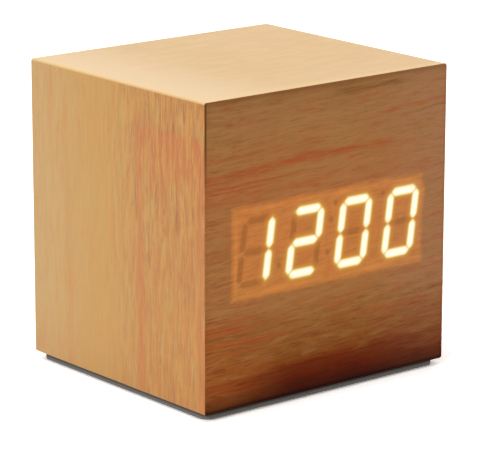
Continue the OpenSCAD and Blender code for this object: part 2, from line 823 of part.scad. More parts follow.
// Rear controls
module control_bezel() {
    color("dimgray") difference() {
        union() {
            upright(flange_y0, room_y1)
                translate([0, controls_z]) rounded_rect(flange_w, flange_h, bezel_r);
            upright(flange_y0, rim_y) bezel_hole(0);
            for (at = posts_at) rod_y(at.x, at.y, post_d, switch_y0, room_y1);
        }
        upright(flange_y0 - past, floor_y0) bezel_hole(-bezel_t);
        upright(floor_y1, rim_y + past) bezel_hole(-bezel_t);
        for (x = button_xs)
            rod_y(x, controls_z, button_d + 2 * button_gap, floor_y0 - past, floor_y1 + past);
        rod_y(jack_x, controls_z, jack_d + 2 * button_gap, floor_y0 - past, floor_y1 + past);
        rod_y(mic_x, controls_z, 1.2, floor_y0 - past, floor_y1 + past);
        for (at = posts_at)
            rod_y(at.x, at.y, screw_d + 2 * pass_gap, switch_y0 - past, room_y1 + past);
    }
}

switch_legs_at = [
    for (x = button_xs, sx = [-1, 1], sz = [-1, 1])
        [x + sx * (switch_w / 2 - switch_leg_set), controls_z + sz * (switch_w - switch_leg_t) / 2]
];
leg_hole_d = 1;
jack_terminals_at = [for (at = [[-2.5, 0], [2.5, 0], [0, 2.5]]) [jack_x + at.x, controls_z + at.y]];

module button_board() {
    color("green") difference() {
        upright(button_board_y0, switch_y0)
            translate([0, controls_z]) rounded_rect(
                bezel_w + 2 * button_board_side, bezel_h + 2 * button_board_over, 1);
        for (at = posts_at)
            rod_y(at.x, at.y, screw_d + 2 * pass_gap, button_board_y0 - past, switch_y0 + past);
        for (at = concat(switch_legs_at, jack_terminals_at))
            rod_y(at.x, at.y, leg_hole_d, button_board_y0 - past, switch_y0 + past);
    }
}

module rear_screws() {
    l = rear_core_y - screw_end - button_board_y0;
    color("silver") for (at = posts_at)
        translate([at.x, button_board_y0, at.y]) rotate([90, 0, 0]) screw(l);
}

module switch_bodies() {
    color("darkslategray") for (x = button_xs) difference() {
        upright(switch_y0, switch_y1) translate([x, controls_z]) rounded_rect(switch_w, switch_w, 0.5);
        rod_y(x, controls_z, plunger_d + 0.2, switch_y1 - plunger_in - switch_travel - 0.1, switch_y1 + past);
    }
}

module switch_legs() {
    color("silver") for (at = switch_legs_at)
        box([at.x - switch_leg_w / 2, button_board_y0 - switch_leg_end, at.y - switch_leg_t / 2],
            [at.x + switch_leg_w / 2, switch_y0, at.y + switch_leg_t / 2]);
}

module plunger(i) {
    color("black") rod_y(button_xs[i], controls_z, plunger_d, switch_y1 - plunger_in, collar_y0);
}

module set_plunger() {
    plunger(0);
}

module up_plunger() {
    plunger(1);
}

module down_plunger() {
    plunger(2);
}

// A push button: softened edge, a shallow dish for the fingertip, and a collar that keeps it in
module push_button(i) {
    r = button_d / 2;
    l = floor_y1 + button_stand - collar_y0;
    soft = 0.4;
    dish_r = 9;
    dish = 0.25;
    color("black") translate([button_xs[i], collar_y0, controls_z]) rotate([-90, 0, 0]) rotate_extrude()
        difference() {
            union() {
                square([r, l - soft]);
                square([r - soft, l]);
                translate([r - soft, l - soft]) circle(soft);
                square([r + collar_reach, collar_t]);
            }
            translate([0, l + dish_r - dish]) circle(dish_r);
            translate([-2 * dish_r, 0]) square([2 * dish_r, 2 * dish_r + l]);
        }
}

module set_button() {
    push_button(0);
}

module up_button() {
    push_button(1);
}

module down_button() {
    push_button(2);
}

module power_jack() {
    color("dimgray") difference() {
        union() {
            rod_y(jack_x, controls_z, jack_d, switch_y0, floor_y1);
            upright(switch_y0, switch_y0 + 2) translate([jack_x, controls_z]) rounded_rect(jack_base, jack_base, 0.5);
        }
        rod_y(jack_x, controls_z, socket_d, floor_y1 - socket_depth, floor_y1 + past);
    }
}

module jack_pin() {
    color("gold") rod_y(jack_x, controls_z, jack_pin_d, floor_y1 - socket_depth, floor_y1 - 1);
}

module jack_terminals() {
    color("silver") for (at = jack_terminals_at)
        box([at.x - 0.35, button_board_y0 - 1.2, at.y - 0.15], [at.x + 0.35, switch_y0, at.y + 0.15]);
}

module microphone() {
    capsule_l = 1.8;
    face = floor_y0 - collar_gap;
    color("silver") {
        rod_y(mic_x, controls_z, mic_d, face - capsule_l, face);
        for (s = [-1, 1]) rod_y(mic_x + s, controls_z, 0.4, switch_y0, face - capsule_l);
    }
}

// Battery compartment
module tray_cell_space(row) {
    rod_x(row * cell_pitch, cell_z, cell_d + 2 * cell_gap, -tray_l_in / 2, tray_l_in / 2);
}

module battery_tray() {
    color("dimgray") difference() {
        union() {
            difference() {
                union() {
                    slab(tray_z0, tray_z1) tray_hole(0);
                    slab(room_z0, room_z0 + tray_wall)
                        rounded_rect(tray_l - 6, tray_w + 2 * tray_ear, tray_r);
                }
                slab(tray_z0 - past, tray_roof_z) square([tray_l_in, tray_w_in], center = true);
            }
            difference() {
                for (x = tray_rib_pitch * [-1, 0, 1])
                    box([x - tray_rib_t / 2, -tray_w_in / 2, cell_z], [x + tray_rib_t / 2, tray_w_in / 2, tray_roof_z]);
                for (row = cell_rows) tray_cell_space(row);
            }
        }
        rod_x(hinge_y, hinge_z, hinge_pin_d + 2 * pin_gap, -tray_l, tray_l);
        latch_slot();
        for (s = [-1, 1])
            translate([s * (tray_l_in / 2 - contact_t / 2), s * -cell_pitch, tray_roof_z])
                cube([contact_t + 0.6, tab_w + 0.6, 3 * tray_wall], center = true);
        for (at = tray_screws_at)
            translate([at.x, at.y, room_z0 - past]) cylinder(d = screw_d + 2 * pass_gap, h = tray_wall + 2 * past);
    }
}

module latch_slot() {
    reach = tray_wall + past;
    translate([0, -tray_w_in / 2 - reach / 2 + 0.01, hook_z + hook_h / 2])
        cube([tongue_w - 1, reach, hook_h + 0.3], center = true);
}

module tray_screws() {
    l = tray_wall + panel_t - screw_end;
    color("silver") for (at = tray_screws_at) translate([at.x, at.y, room_z0 + tray_wall]) screw(l);
}

// The door: a plate with a hinge barrel, two pins, stiffening ribs and a snap tongue
module battery_door() {
    barrel_l = door_l - 2 * barrel_set;
    pin_l = door_gap + barrel_set + tray_wall - 0.3;
    color("dimgray") difference() {
        union() {
            slab(tray_z0, tray_z0 + door_t) {
                translate([-door_l / 2, door_y0]) square([door_l, hinge_y - barrel_r - 0.3 - door_y0]);
                translate([-barrel_l / 2, door_y0]) square([barrel_l, hinge_y - door_y0]);
            }
            rod_x(hinge_y, hinge_z, 2 * barrel_r, -barrel_l / 2, barrel_l / 2);
            rod_x(hinge_y, hinge_z, hinge_pin_d, -barrel_l / 2 - pin_l, barrel_l / 2 + pin_l);
            for (s = [-1, 1])
                box([-door_rib_l / 2, s * cell_pitch / 2 - 0.4, tray_z0],
                    [door_rib_l / 2, s * cell_pitch / 2 + 0.4, tray_z0 + door_t + 1.2]);
            latch_hook();
        }
        for (s = [-1, 1])
            box([s * tongue_w / 2 - slit_w / 2, door_y0 - past, tray_z0 - past],
                [s * tongue_w / 2 + slit_w / 2, door_y0 + tongue_l, tray_z0 + door_t + past]);
        thumb_recess();
    }
}

// A wedge on the tongue's edge that snaps over the lip of the compartment's front wall
module latch_hook() {
    hook_w = tongue_w - 2;
    reach = door_gap + hook_reach;
    translate([-hook_w / 2, door_y0, hook_z])
        multmatrix([[0, 0, 1, 0], [1, 0, 0, 0], [0, 1, 0, 0]]) linear_extrude(hook_w)
            polygon([[0.5, 0], [-reach, 0], [-reach, 0.2], [0, hook_h], [0.5, hook_h]]);
}

// A shallow recess in the tongue with grip bars standing in it
module thumb_recess() {
    depth = 0.5;
    w = tongue_w - 3;
    difference() {
        translate([-w / 2, door_y0 + 2, tray_z0 - past]) cube([w, 5.5, past + depth]);
        for (i = [0 : 2]) translate([-w / 2, door_y0 + 3 + i * 1.5, tray_z0]) cube([w, 0.5, depth + past]);
    }
}

// Cells lie in turn: the positive end of the first and the third points right
function cell_sign(row) = row == 0 ? -1 : 1;

module at_cell(row) {
    translate([cell_sign(row) * plate_x, row * cell_pitch, cell_z]) rotate([0, cell_sign(row) * -90, 0]) children();
}

module battery_cells() {
    soft = 0.5;
    r = cell_d / 2;
    l = cell_l - cell_nub_l - 0.1;
    color("slategray") for (row = cell_rows) at_cell(row)
        translate([0, 0, cell_nub_l]) rotate_extrude() intersection() {
            square([r, l]);
            translate([0, l / 2]) rounded_rect(cell_d, l, soft);
        }
}

module cell_terminals() {
    foot_d = 7.4;
    color("silver") for (row = cell_rows) at_cell(row) {
        cylinder(d = cell_nub_d, h = cell_nub_l);
        translate([0, 0, cell_l - 0.1]) cylinder(d = foot_d, h = 0.1);
    }
}

module contact_plates() {
    low = cell_z - 4;
    high = cell_z + 4.4;
    color("silver") for (s = [-1, 1]) {
        x0 = s > 0 ? plate_x : -plate_x - contact_t;
        box([x0, -s * cell_pitch - 4, low], [x0 + contact_t, -s * cell_pitch + 4, high]);
        box([x0, -s * cell_pitch - tab_w / 2, low], [x0 + contact_t, -s * cell_pitch + tab_w / 2, tray_z1 + tab_up]);
        box([x0, s > 0 ? -4 : -cell_pitch - 4, low], [x0 + contact_t, s > 0 ? cell_pitch + 4 : 4, high]);
    }
}

// Cone springs between the plates and the cells' negative ends
module contact_springs() {
    steps = spring_turns * 8;
    r_plate = 3.3;
    r_cell = 1.8;
    reach = spring_l - spring_wire - 0.08;
    color("silver") for (row = cell_rows) {
        s = -cell_sign(row);
        x0 = s * (plate_x - spring_wire / 2 - 0.04);
        coil = [
            for (i = [0 : steps])
                let (t = i / steps, r = r_plate + (r_cell - r_plate) * t, a = 45 * i)
                [x0 - s * reach * t, row * cell_pitch + r * cos(a), cell_z + r * sin(a)]
        ];
        wire_tube(coil, spring_wire, 6);
    }
}

lead_y = board_y1 + socket_size.y;

module battery_leads() {
    tab_z = tray_z1 + tab_up - 0.6;
    plus = [
        [plate_x, -cell_pitch, tab_z], [plate_x - 6, -cell_pitch, tab_z],
        [socket_at.x + 1.4, lead_y + 6, socket_at.y], [socket_at.x + 1.4, lead_y - 2.6, socket_at.y]
    ];
    minus = [
        [-plate_x, cell_pitch, tab_z], [-6, cell_pitch, tab_z],
        [socket_at.x - 1.4, lead_y + 14, socket_at.y], [socket_at.x - 1.4, lead_y - 2.6, socket_at.y]
    ];
    color("firebrick") wire_tube(route(plus, 12), wire_d, 8);
    color("black") wire_tube(route(minus, 16), wire_d, 8);
}

module button_ribbon() {
    z_high = controls_z - 7.5;
    z_low = face_z - ribbon_under;
    color("gray") for (i = [0 : ribbon_count - 1]) {
        x = ribbon_x + (i - (ribbon_count - 1) / 2) * ribbon_pitch;
        stops = [[x, button_board_y0, z_high], [x, 4, z_high], [x, -6, z_low], [x, board_y1, z_low]];
        wire_tube(route(stops, 14), wire_d, 8);
    }
}

top_panel();
base_panel();
left_panel();
right_panel();
front_panel();
rear_panel();
sleeve_veneer();
front_veneer();
rear_veneer();
base_pad();
display_housing();
lit_segments();
unlit_segments();
indicator_dots();
segment_leds();
display_board();
display_pins();
main_board();
board_spacers();
board_screws();
controller_chip();
chip_legs();
digit_drivers();
chip_resistors();
timing_crystal();
capacitors();
buzzer();
thermistor();
battery_socket();
control_bezel();
button_board();
rear_screws();
switch_bodies();
switch_legs();
set_plunger();
up_plunger();
down_plunger();
set_button();
up_button();
down_button();
power_jack();
jack_pin();
jack_terminals();
microphone();
battery_tray();
tray_screws();
battery_door();
battery_cells();
cell_terminals();
contact_plates();
contact_springs();
battery_leads();
button_ribbon();
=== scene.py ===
import json
import math

import bmesh
import bpy
from mathutils import Matrix, Vector


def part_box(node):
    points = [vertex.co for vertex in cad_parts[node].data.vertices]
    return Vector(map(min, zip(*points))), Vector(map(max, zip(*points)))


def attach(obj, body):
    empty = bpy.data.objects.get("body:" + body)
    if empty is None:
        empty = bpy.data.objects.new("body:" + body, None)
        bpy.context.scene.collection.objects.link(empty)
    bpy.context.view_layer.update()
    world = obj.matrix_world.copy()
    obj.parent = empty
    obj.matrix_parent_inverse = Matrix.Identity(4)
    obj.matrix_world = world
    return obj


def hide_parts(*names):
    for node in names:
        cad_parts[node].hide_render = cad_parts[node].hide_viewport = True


# The looks of a small alarm clock in a wood-grain cube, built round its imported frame.
# Meshes, lamps and the camera are in metres; the materials work in millimetres on Object coordinates.

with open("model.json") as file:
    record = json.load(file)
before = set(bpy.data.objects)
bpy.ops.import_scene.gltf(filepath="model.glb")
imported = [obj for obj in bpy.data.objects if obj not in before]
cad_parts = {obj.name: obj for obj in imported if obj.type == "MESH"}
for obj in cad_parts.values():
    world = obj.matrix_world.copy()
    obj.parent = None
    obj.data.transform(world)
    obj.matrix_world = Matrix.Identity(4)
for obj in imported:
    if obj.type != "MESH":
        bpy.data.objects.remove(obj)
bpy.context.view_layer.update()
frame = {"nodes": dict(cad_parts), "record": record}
nodes = frame["nodes"]
MM = 0.001

# Camera: the photograph's viewpoint, fitted to the body's corners
LENS = 221.24
SENSOR = 36
AZIMUTH = math.radians(-39.183)
ELEVATION = math.radians(14.334)
ROLL = math.radians(0.0755)
DISTANCE = 0.60935
TARGET = Vector((0, 0, 0.033))
OFFSET_RIGHT = 0.0004
OFFSET_UP = -0.0034

# The body, in millimetres
HALF_W = 31.5
HALF_D = 28.5
BODY_BOTTOM = 1.5
BODY_TOP = 64.0
FACE_MIDDLE = 32.75

# The batteries: three cells side by side, turned about, each with a cone spring at its minus end
CELL_PITCH = 11.3
CELL_Z = 8.65
CELL_SHOULDER = 9.4
PLATE_X = 23.9
TAB_Z = 21.05
SPRING_LENGTH = 3.3
SPRING_WIRE = 0.5
SPRING_CLEAR = 0.04
SPRING_TURNS = 3
SPRING_STEPS = 12
SPRING_WIDE_R = 3.3
SPRING_NARROW_R = 1.8
# The row of each cell, and the side that its spring is on
SPRING_SIDE = {-1: -1, 0: 1, 1: -1}

# The leads from the batteries to the socket on the main board, and the ribbon from the button board
LEAD_D = 1.1
LEAD_STUB = 0.8
LEAD_SPREAD = 1.4
BOARD_BACK = -18.4
SOCKET = Vector((13.5, BOARD_BACK + 4.6, 16.9))
SOCKET_DEPTH = 2.6
RIBBON_X = -16.0
RIBBON_REAR_Y = 17.9
RIBBON_HIGH_Z = 28.5
RIBBON_LOW_Z = 25.0
RIBBON_PITCH = 1.2
RIBBON_CORES = 5
WIRE_SIDES = 12

# From one copper track of the boards to the next
TRACK_PITCH = 1.27


def put(name, data):
    """A new object in the scene."""
    made = bpy.data.objects.new(name, data)
    bpy.context.scene.collection.objects.link(made)
    return made


def set_camera():
    back = Vector((
        math.sin(AZIMUTH) * math.cos(ELEVATION),
        -math.cos(AZIMUTH) * math.cos(ELEVATION),
        math.sin(ELEVATION),
    ))
    level = Vector((0, 0, 1)).cross(back).normalized()
    upright = back.cross(level)
    right = math.cos(ROLL) * level + math.sin(ROLL) * upright
    up = back.cross(right)
    data = bpy.data.cameras.new("camera")
    data.lens, data.sensor_width = LENS, SENSOR
    data.clip_start, data.clip_end = 0.01, 20
    camera = put("camera", data)
    place = TARGET + DISTANCE * back + OFFSET_RIGHT * right + OFFSET_UP * up
    turn = Matrix((right, up, back)).transposed().to_4x4()
    camera.matrix_world = Matrix.Translation(place) @ turn
    bpy.context.scene.camera = camera


class Wiring:
    """Adds nodes to one tree and joins them up."""

    def __init__(self, tree):
        self.tree = tree

    def add(self, kind, **settings):
        node = self.tree.nodes.new(kind)
        for name, value in settings.items():
            setattr(node, name, value)
        return node

    def feed(self, socket, value):
        if isinstance(value, bpy.types.NodeSocket):
            self.tree.links.new(value, socket)
        elif hasattr(socket, "default_value"):
            if socket.type == "RGBA" and len(value) == 3:
                value = (*value, 1)
            socket.default_value = value

    def calc(self, operation, *values):
        node = self.add("ShaderNodeMath", operation=operation)
        for socket, value in zip(node.inputs, values):
            self.feed(socket, value)
        return node.outputs[0]

    def times(self, first, second):
        return self.calc("MULTIPLY", first, second)

    def plus(self, first, second):
        return self.calc("ADD", first, second)

    def minus(self, first, second):
        return self.calc("SUBTRACT", first, second)

    def larger(self, first, second):
        return self.calc("MAXIMUM", first, second)

    def smaller(self, first, second):
        return self.calc("MINIMUM", first, second)

    def scaled(self, value, scale, start):
        return self.calc("MULTIPLY_ADD", value, scale, start)

    def spot(self, x=0.0, y=0.0, z=0.0):
        node = self.add("ShaderNodeCombineXYZ")
        for socket, value in zip(node.inputs, (x, y, z)):
            self.feed(socket, value)
        return node.outputs[0]

    def split(self, vector):
        node = self.add("ShaderNodeSeparateXYZ")
        self.feed(node.inputs[0], vector)
        return node.outputs

    def fade(self, value, start, end, low=0.0, high=1.0):
        """A smooth step from low to high as value goes from start to end."""
        node = self.add("ShaderNodeMapRange", interpolation_type="SMOOTHSTEP")
        for socket, number in zip(node.inputs, (value, start, end, low, high)):
            self.feed(socket, number)
        return node.outputs[0]

    def blend(self, share, first, second, kind="MIX"):
        node = self.add("ShaderNodeMix", data_type="RGBA", blend_type=kind)
        for name, value in (("Factor_Float", share), ("A_Color", first), ("B_Color", second)):
            self.feed(next(s for s in node.inputs if s.identifier == name), value)
        return next(s for s in node.outputs if s.identifier == "Result_Color")

    def tint(self, share, colour, tone):
        """A colour darkened by a tone, as far as share goes."""
        return self.blend(share, colour, tone, kind="MULTIPLY")

    def colours(self, value, stops):
        """A run of colours from (value, colour) stops."""
        node = self.add("ShaderNodeValToRGB")
        ramp = node.color_ramp
        while len(ramp.elements) < len(stops):
            ramp.elements.new(0.5)
        for element, (at, colour) in zip(ramp.elements, stops):
            element.position = at
            element.color = (*colour, 1)
        self.feed(node.inputs[0], value)
        return node.outputs[0]

    def noise(self, where, scale=1.0, detail=2.0, rough=0.5, warp=0.0):
        node = self.add("ShaderNodeTexNoise")
        for name, value in (
            ("Vector", where), ("Scale", scale), ("Detail", detail),
            ("Roughness", rough), ("Distortion", warp),
        ):
            self.feed(node.inputs[name], value)
        return node.outputs[0]

    def cells(self, where, scale):
        """How far the nearest of many scattered points is."""
        node = self.add("ShaderNodeTexVoronoi")
        self.feed(node.inputs["Vector"], where)
        self.feed(node.inputs["Scale"], scale)
        return node.outputs["Distance"]

    def place(self):
        """The point on the piece, in millimetres, and its three parts."""
        where = self.add("ShaderNodeTexCoord").outputs["Object"]
        scaled = self.add("ShaderNodeVectorMath", operation="SCALE")
        self.feed(scaled.inputs[0], where)
        self.feed(scaled.inputs["Scale"], 1 / MM)
        return scaled.outputs[0], self.split(scaled.outputs[0])

    def use(self, group, **values):
        node = self.add("ShaderNodeGroup", node_tree=group)
        for name, value in values.items():
            self.feed(node.inputs[name.replace("_", " ")], value)
        return node.outputs


def effect(name, inputs, outputs, make):
    """A shader node group. An input has a number, or None where it takes a point; outputs are numbers."""
    tree = bpy.data.node_groups.new(name, "ShaderNodeTree")
    for label, value in inputs.items():
        kind = "NodeSocketVector" if value is None else "NodeSocketFloat"
        socket = tree.interface.new_socket(label, in_out="INPUT", socket_type=kind)
        if value is not None:
            socket.default_value = value
    for label in outputs:
        tree.interface.new_socket(label, in_out="OUTPUT", socket_type="NodeSocketFloat")
    wiring = Wiring(tree)
    made = make(wiring, wiring.add("NodeGroupInput").outputs)
    end = wiring.add("NodeGroupOutput")
    for label, value in made.items():
        wiring.feed(end.inputs[label], value)
    return tree


def make_grain(w, given):
    """Wood grain along Along, from fine fibres to broad bands; Bent is Across with the grain's waves."""
    along, across, deep = given["Along"], given["Across"], given["Deep"]
    wander = w.noise(w.spot(w.times(along, 0.045), w.times(across, 0.07), deep), detail=2)
    bent = w.scaled(w.minus(wander, 0.5), given["Wander"], across)

    def lines(lengthwise, crosswise, detail, rough, warp=0.0):
        at = w.spot(w.times(along, lengthwise), w.times(bent, crosswise), deep)
        return w.noise(at, detail=detail, rough=rough, warp=warp)

    return {
        "Lines": w.fade(lines(0.10, 0.95, 4, 0.66), 0.38, 0.63),
        "Threads": w.fade(lines(0.19, 2.1, 2, 0.6, 0.25), 0.52, 0.66),
        "Fibres": lines(0.55, 4.5, 3, 0.65),
        "Dashes": w.fade(lines(0.30, 2.6, 3, 0.6), 0.56, 0.72),
        "Blotches": lines(0.13, 0.42, 3, 0.6),
        "Bands": w.fade(lines(0.018, 0.16, 2, 0.5), 0.34, 0.66),
        "Bent": bent,
    }


def make_streak(w, given):
    """One streak of colour in the wood, soft at its sides and ends; Wave times Ragged bends its edges."""
    run = w.minus(given["Along"], given["Start"])
    left = w.minus(given["End"], given["Along"])
    middle = w.scaled(run, given["Rise"], given["Place"])
    wave = w.scaled(given["Wave"], given["Ragged"], given["Across"])
    off = w.calc("ABSOLUTE", w.minus(wave, middle))
    body = w.fade(w.calc("DIVIDE", off, given["Width"]), 1.0, 0.1)
    half_soft = w.times(given["Soft"], 0.5)
    nearest = w.smaller(run, left)
    ends = w.fade(w.calc("DIVIDE", nearest, half_soft), -1.0, 1.0)
    return {"Mask": w.times(body, w.times(ends, given["Strength"]))}


# The longest soft end of a streak in the wood, in millimetres
SOFTEST_END = 8.0

# The display, in millimetres. A segment is (name, steps right, steps up, lies flat), and its ends are
# blunt points cut at 45 degrees. FAR is out of reach.
DIGIT_PITCH = 12.7
SEGMENT_SPAN = 6.85
SEGMENT_RISE = 6.33
SEGMENT_HALF_W = 0.725
SEGMENT_GAP = 0.35
TIP_FLAT = 0.18
TIP_ROUND = 0.3
TIP_REACH = 0.12
SIN_45 = 0.7071
CORNER_ROUND = 0.5
DISPLAY_X = 0.35
LEAN = math.tan(math.radians(8))
SEGMENTS = [
    ("a", 0, 1, True), ("b", 0.5, 0.5, False), ("c", 0.5, -0.5, False), ("d", 0, -1, True),
    ("e", -0.5, -0.5, False), ("f", -0.5, 0.5, False), ("g", 0, 0, True),
]
NUMERALS = ["abcdef", "bc", "abdeg", "abcdg", "bcfg", "acdfg", "acdefg", "abc", "abcdefg", "abcdfg"]
SHOWN = [1, 2, 0, 0]
DOTS = [(0.46, 3.3), (-0.46, -3.3), (-13.1, -3.8), (1.6, 6.6), (14.3, 6.6)]
DOT_R = 0.6
WINDOW_W = 50.3
WINDOW_H = 19.0
FAR = 100.0


def make_display_map(w, given):
    """How many millimetres a point of the face is from lit and unlit marks and from the window's edge."""
    right, up = w.minus(given["Right"], DISPLAY_X), given["Up"]
    level = w.minus(right, w.times(up, LEAN))
    digit = w.calc("FLOOR", w.plus(w.calc("DIVIDE", level, DIGIT_PITCH), 2.0))
    digit = w.smaller(w.larger(digit, 0.0), 3.0)
    local = w.minus(level, w.times(w.minus(digit, 1.5), DIGIT_PITCH))
    lit, unlit = FAR, FAR
    for name, steps_right, steps_up, flat in SEGMENTS:
        half_l = (SEGMENT_SPAN if flat else SEGMENT_RISE) / 2 - SEGMENT_GAP
        beside = w.calc("ABSOLUTE", w.minus(local, steps_right * SEGMENT_SPAN))
        above = w.calc("ABSOLUTE", w.minus(up, steps_up * SEGMENT_RISE))
        long, short = (beside, above) if flat else (above, beside)
        side = w.minus(short, SEGMENT_HALF_W)
        blunt = w.calc("SMOOTH_MAX", short, TIP_FLAT, TIP_ROUND)
        point = w.times(w.minus(w.plus(long, blunt), half_l + TIP_REACH), SIN_45)
        off = w.calc("SMOOTH_MAX", side, point, CORNER_ROUND)
        on = 0.0
        for k, numeral in enumerate(SHOWN):
            if name in NUMERALS[numeral]:
                on = w.plus(on, w.calc("COMPARE", digit, float(k), 0.5))
        lit = w.smaller(lit, w.scaled(w.minus(1.0, on), FAR, off))
        unlit = w.smaller(unlit, w.scaled(on, FAR, off))
    here = w.spot(right, up)
    for x, z in DOTS:
        apart = w.add("ShaderNodeVectorMath", operation="DISTANCE")
        w.feed(apart.inputs[0], here)
        apart.inputs[1].default_value = (x, z, 0)
        unlit = w.smaller(unlit, w.minus(apart.outputs["Value"], DOT_R))
    beyond_side = w.minus(w.calc("ABSOLUTE", right), WINDOW_W / 2)
    beyond_top = w.minus(w.calc("ABSOLUTE", up), WINDOW_H / 2)
    edge = w.larger(beyond_side, beyond_top)
    return {"Lit": lit, "Unlit": unlit, "Window": edge}


def make_mould_skin(w, given):
    """The fine skin of a plastic moulding, its cloudy colour and its scuffs."""
    where = given["Where"]
    skin = w.noise(where, 9.0, 3, 0.6)
    cloud = w.noise(where, 0.16, 3, 0.55)
    scuffs = w.fade(w.noise(where, 1.1, 5, 0.7, 1.5), 0.58, 0.7)
    return {"Skin": skin, "Cloud": cloud, "Scuffs": scuffs}


def make_metal_skin(w, given):
    """Drawn or stamped metal: fine lines along one way, and stains."""
    x, y, z = w.split(given["Where"])
    stretched = w.spot(w.times(x, 0.6), w.times(y, 9.0), w.times(z, 9.0))
    drawn = w.noise(stretched, detail=3, rough=0.6)
    stains = w.noise(given["Where"], 0.7, 4, 0.6)
    return {"Drawn": drawn, "Stains": stains}


GRAIN = effect(
    "wood_grain",
    {"Along": 0.0, "Across": 0.0, "Deep": 0.0, "Wander": 3.0},
    ("Lines", "Threads", "Fibres", "Dashes", "Blotches", "Bands", "Bent"),
    make_grain,
)
STREAK = effect(
    "colour_streak",
    {
        "Along": 0.0, "Across": 0.0, "Start": 0.0, "End": 10.0, "Place": 0.0, "Rise": 0.0,
        "Width": 1.0, "Soft": 4.0, "Ragged": 1.0, "Strength": 1.0, "Wave": 0.0,
    },
    ("Mask",),
    make_streak,
)
DISPLAY_MAP = effect(
    "display_map", {"Right": 0.0, "Up": 0.0}, ("Lit", "Unlit", "Window"), make_display_map,
)
MOULD_SKIN = effect("mould_skin", {"Where": None}, ("Skin", "Cloud", "Scuffs"), make_mould_skin)
METAL_SKIN = effect("metal_skin", {"Where": None}, ("Drawn", "Stains"), make_metal_skin)


def finish_of(name, make, **constants):
    """A material: make gives what varies over the surface, constants go on the shader's own sockets."""
    material = bpy.data.materials.new(name)
    material.use_nodes = True
    tree = material.node_tree
    tree.nodes.clear()
    w = Wiring(tree)
    where, parts = w.place()
    varying = make(w, where, parts)
    height, depth = varying.pop("Height"), varying.pop("Depth")
    shader = w.add("ShaderNodeBsdfPrincipled")
    for label, value in constants.items():
        w.feed(shader.inputs[label.replace("_", " ")], value)
    for label, value in varying.items():
        w.feed(shader.inputs[label.replace("_", " ")], value)
    if height is not None:
        bump = w.add("ShaderNodeBump")
        bump.inputs["Strength"].default_value = 1.0
        bump.inputs["Distance"].default_value = depth * MM
        w.feed(bump.inputs["Height"], height)
        w.feed(shader.inputs["Normal"], bump.outputs[0])
    w.feed(w.add("ShaderNodeOutputMaterial").inputs["Surface"], shader.outputs[0])
    return material


def surface(colour, rough, height=None, depth=0.0, **more):
    """What varies over a piece; depth is how deep its relief is, in millimetres."""
    return {"Base Color": colour, "Roughness": rough, "Height": height, "Depth": depth, **more}


def streaks(w, along, across, rows, seed=0.0):
    """Streaks laid over each other: rows of (start, end, place, rise, width, strength, ragged)."""
    wave = w.noise(w.spot(w.times(along, 0.22), w.times(across, 0.9), seed), detail=3, rough=0.6)
    wave = w.minus(wave, 0.5)
    total = 0.0
    for start, end, place, rise, width, strength, ragged in rows:
        soft = min(SOFTEST_END, (end - start) / 2)
        mask = w.use(
            STREAK, Along=along, Across=across, Start=start, End=end, Place=place, Rise=rise,
            Width=width, Strength=strength, Ragged=ragged, Soft=soft, Wave=wave,
        )["Mask"]
        total = w.larger(total, mask)
    threads = w.noise(w.spot(w.times(along, 0.10), w.times(across, 2.6), seed), detail=3, rough=0.6)
    return w.times(total, w.fade(threads, 0.36, 0.60, 0.32, 1.0))


def wood_skin(w, grain, colour, line_height, roughening, rough):
    """What a sheet of wood shows: its fibres stand up, its dark lines lie low, and fibres shine less."""
    height = w.scaled(grain["Fibres"], 0.5, w.times(grain["Lines"], line_height))
    return surface(colour, w.scaled(grain["Fibres"], roughening, rough), height, 0.02)


# The wrapped sheet, honey-coloured, with its grain round the body. HONEY_RUN goes from rear to front.
HONEY_RUN = [
    (0.0, (0.545, 0.320, 0.105)), (0.16, (0.552, 0.312, 0.086)), (0.36, (0.545, 0.280, 0.052)),
    (0.56, (0.545, 0.272, 0.048)), (0.80, (0.545, 0.243, 0.029)), (1.0, (0.555, 0.236, 0.025)),
]
HONEY_ROSY = (0.550, 0.244, 0.036)
HONEY_OLIVE = (0.518, 0.302, 0.064)
HONEY_FOOT = (0.47, 0.215, 0.040)
HONEY_LINE = (0.80, 0.63, 0.42)
HONEY_THREAD = (0.75, 0.60, 0.37)
HONEY_DASH = (0.89, 0.79, 0.68)
HONEY_FIBRE = (0.64, 0.40, 0.14)
EMBER = (0.515, 0.122, 0.007)
TOP_DARKER = (0.543, 0.333, 0.119)
TOP_LIGHTER = (0.583, 0.373, 0.143)
TOP_FORWARD = (0.60, 0.415, 0.190)
TOP_BLUSH = (0.58, 0.300, 0.130)
# The next two are painted light: the top's left and a highlight along its near edges
TOP_LEFT_PAINTED_LIGHT = (0.66, 0.455, 0.235)
TOP_EDGE_HIGHLIGHT = (0.68, 0.44, 0.16)

# On the left side, streaks run down: start and end are from the top, place is from the rear
SIDE_STREAKS = [
    (6, 30, 36.4, 0.0, 1.5, 0.8, 1.6), (28, 66, 36.8, 0.0, 2.1, 0.85, 2.2),
    (36, 58, 36.6, 0.0, 1.5, 1.0, 1.4), (28, 62, 41.8, 0.0, 0.9, 0.40, 1.4),
    (8, 22, 45.2, 0.0, 0.8, 0.6, 1.2), (4, 40, 55.8, 0.0, 1.3, 0.70, 1.4),
    (25, 66, 56.0, 0.0, 1.8, 0.75, 1.0), (24, 66, 51.2, 0.0, 0.8, 0.4, 1.4),
    (2, 44, 11.8, 0.0, 1.5, 0.20, 1.4), (30, 66, 12.6, 0.0, 2.0, 0.28, 1.6),
    (-2, 20, 6.5, 0.0, 1.6, 0.25, 1.6), (10, 40, 33.0, 0.0, 0.6, 0.3, 1.0),
]


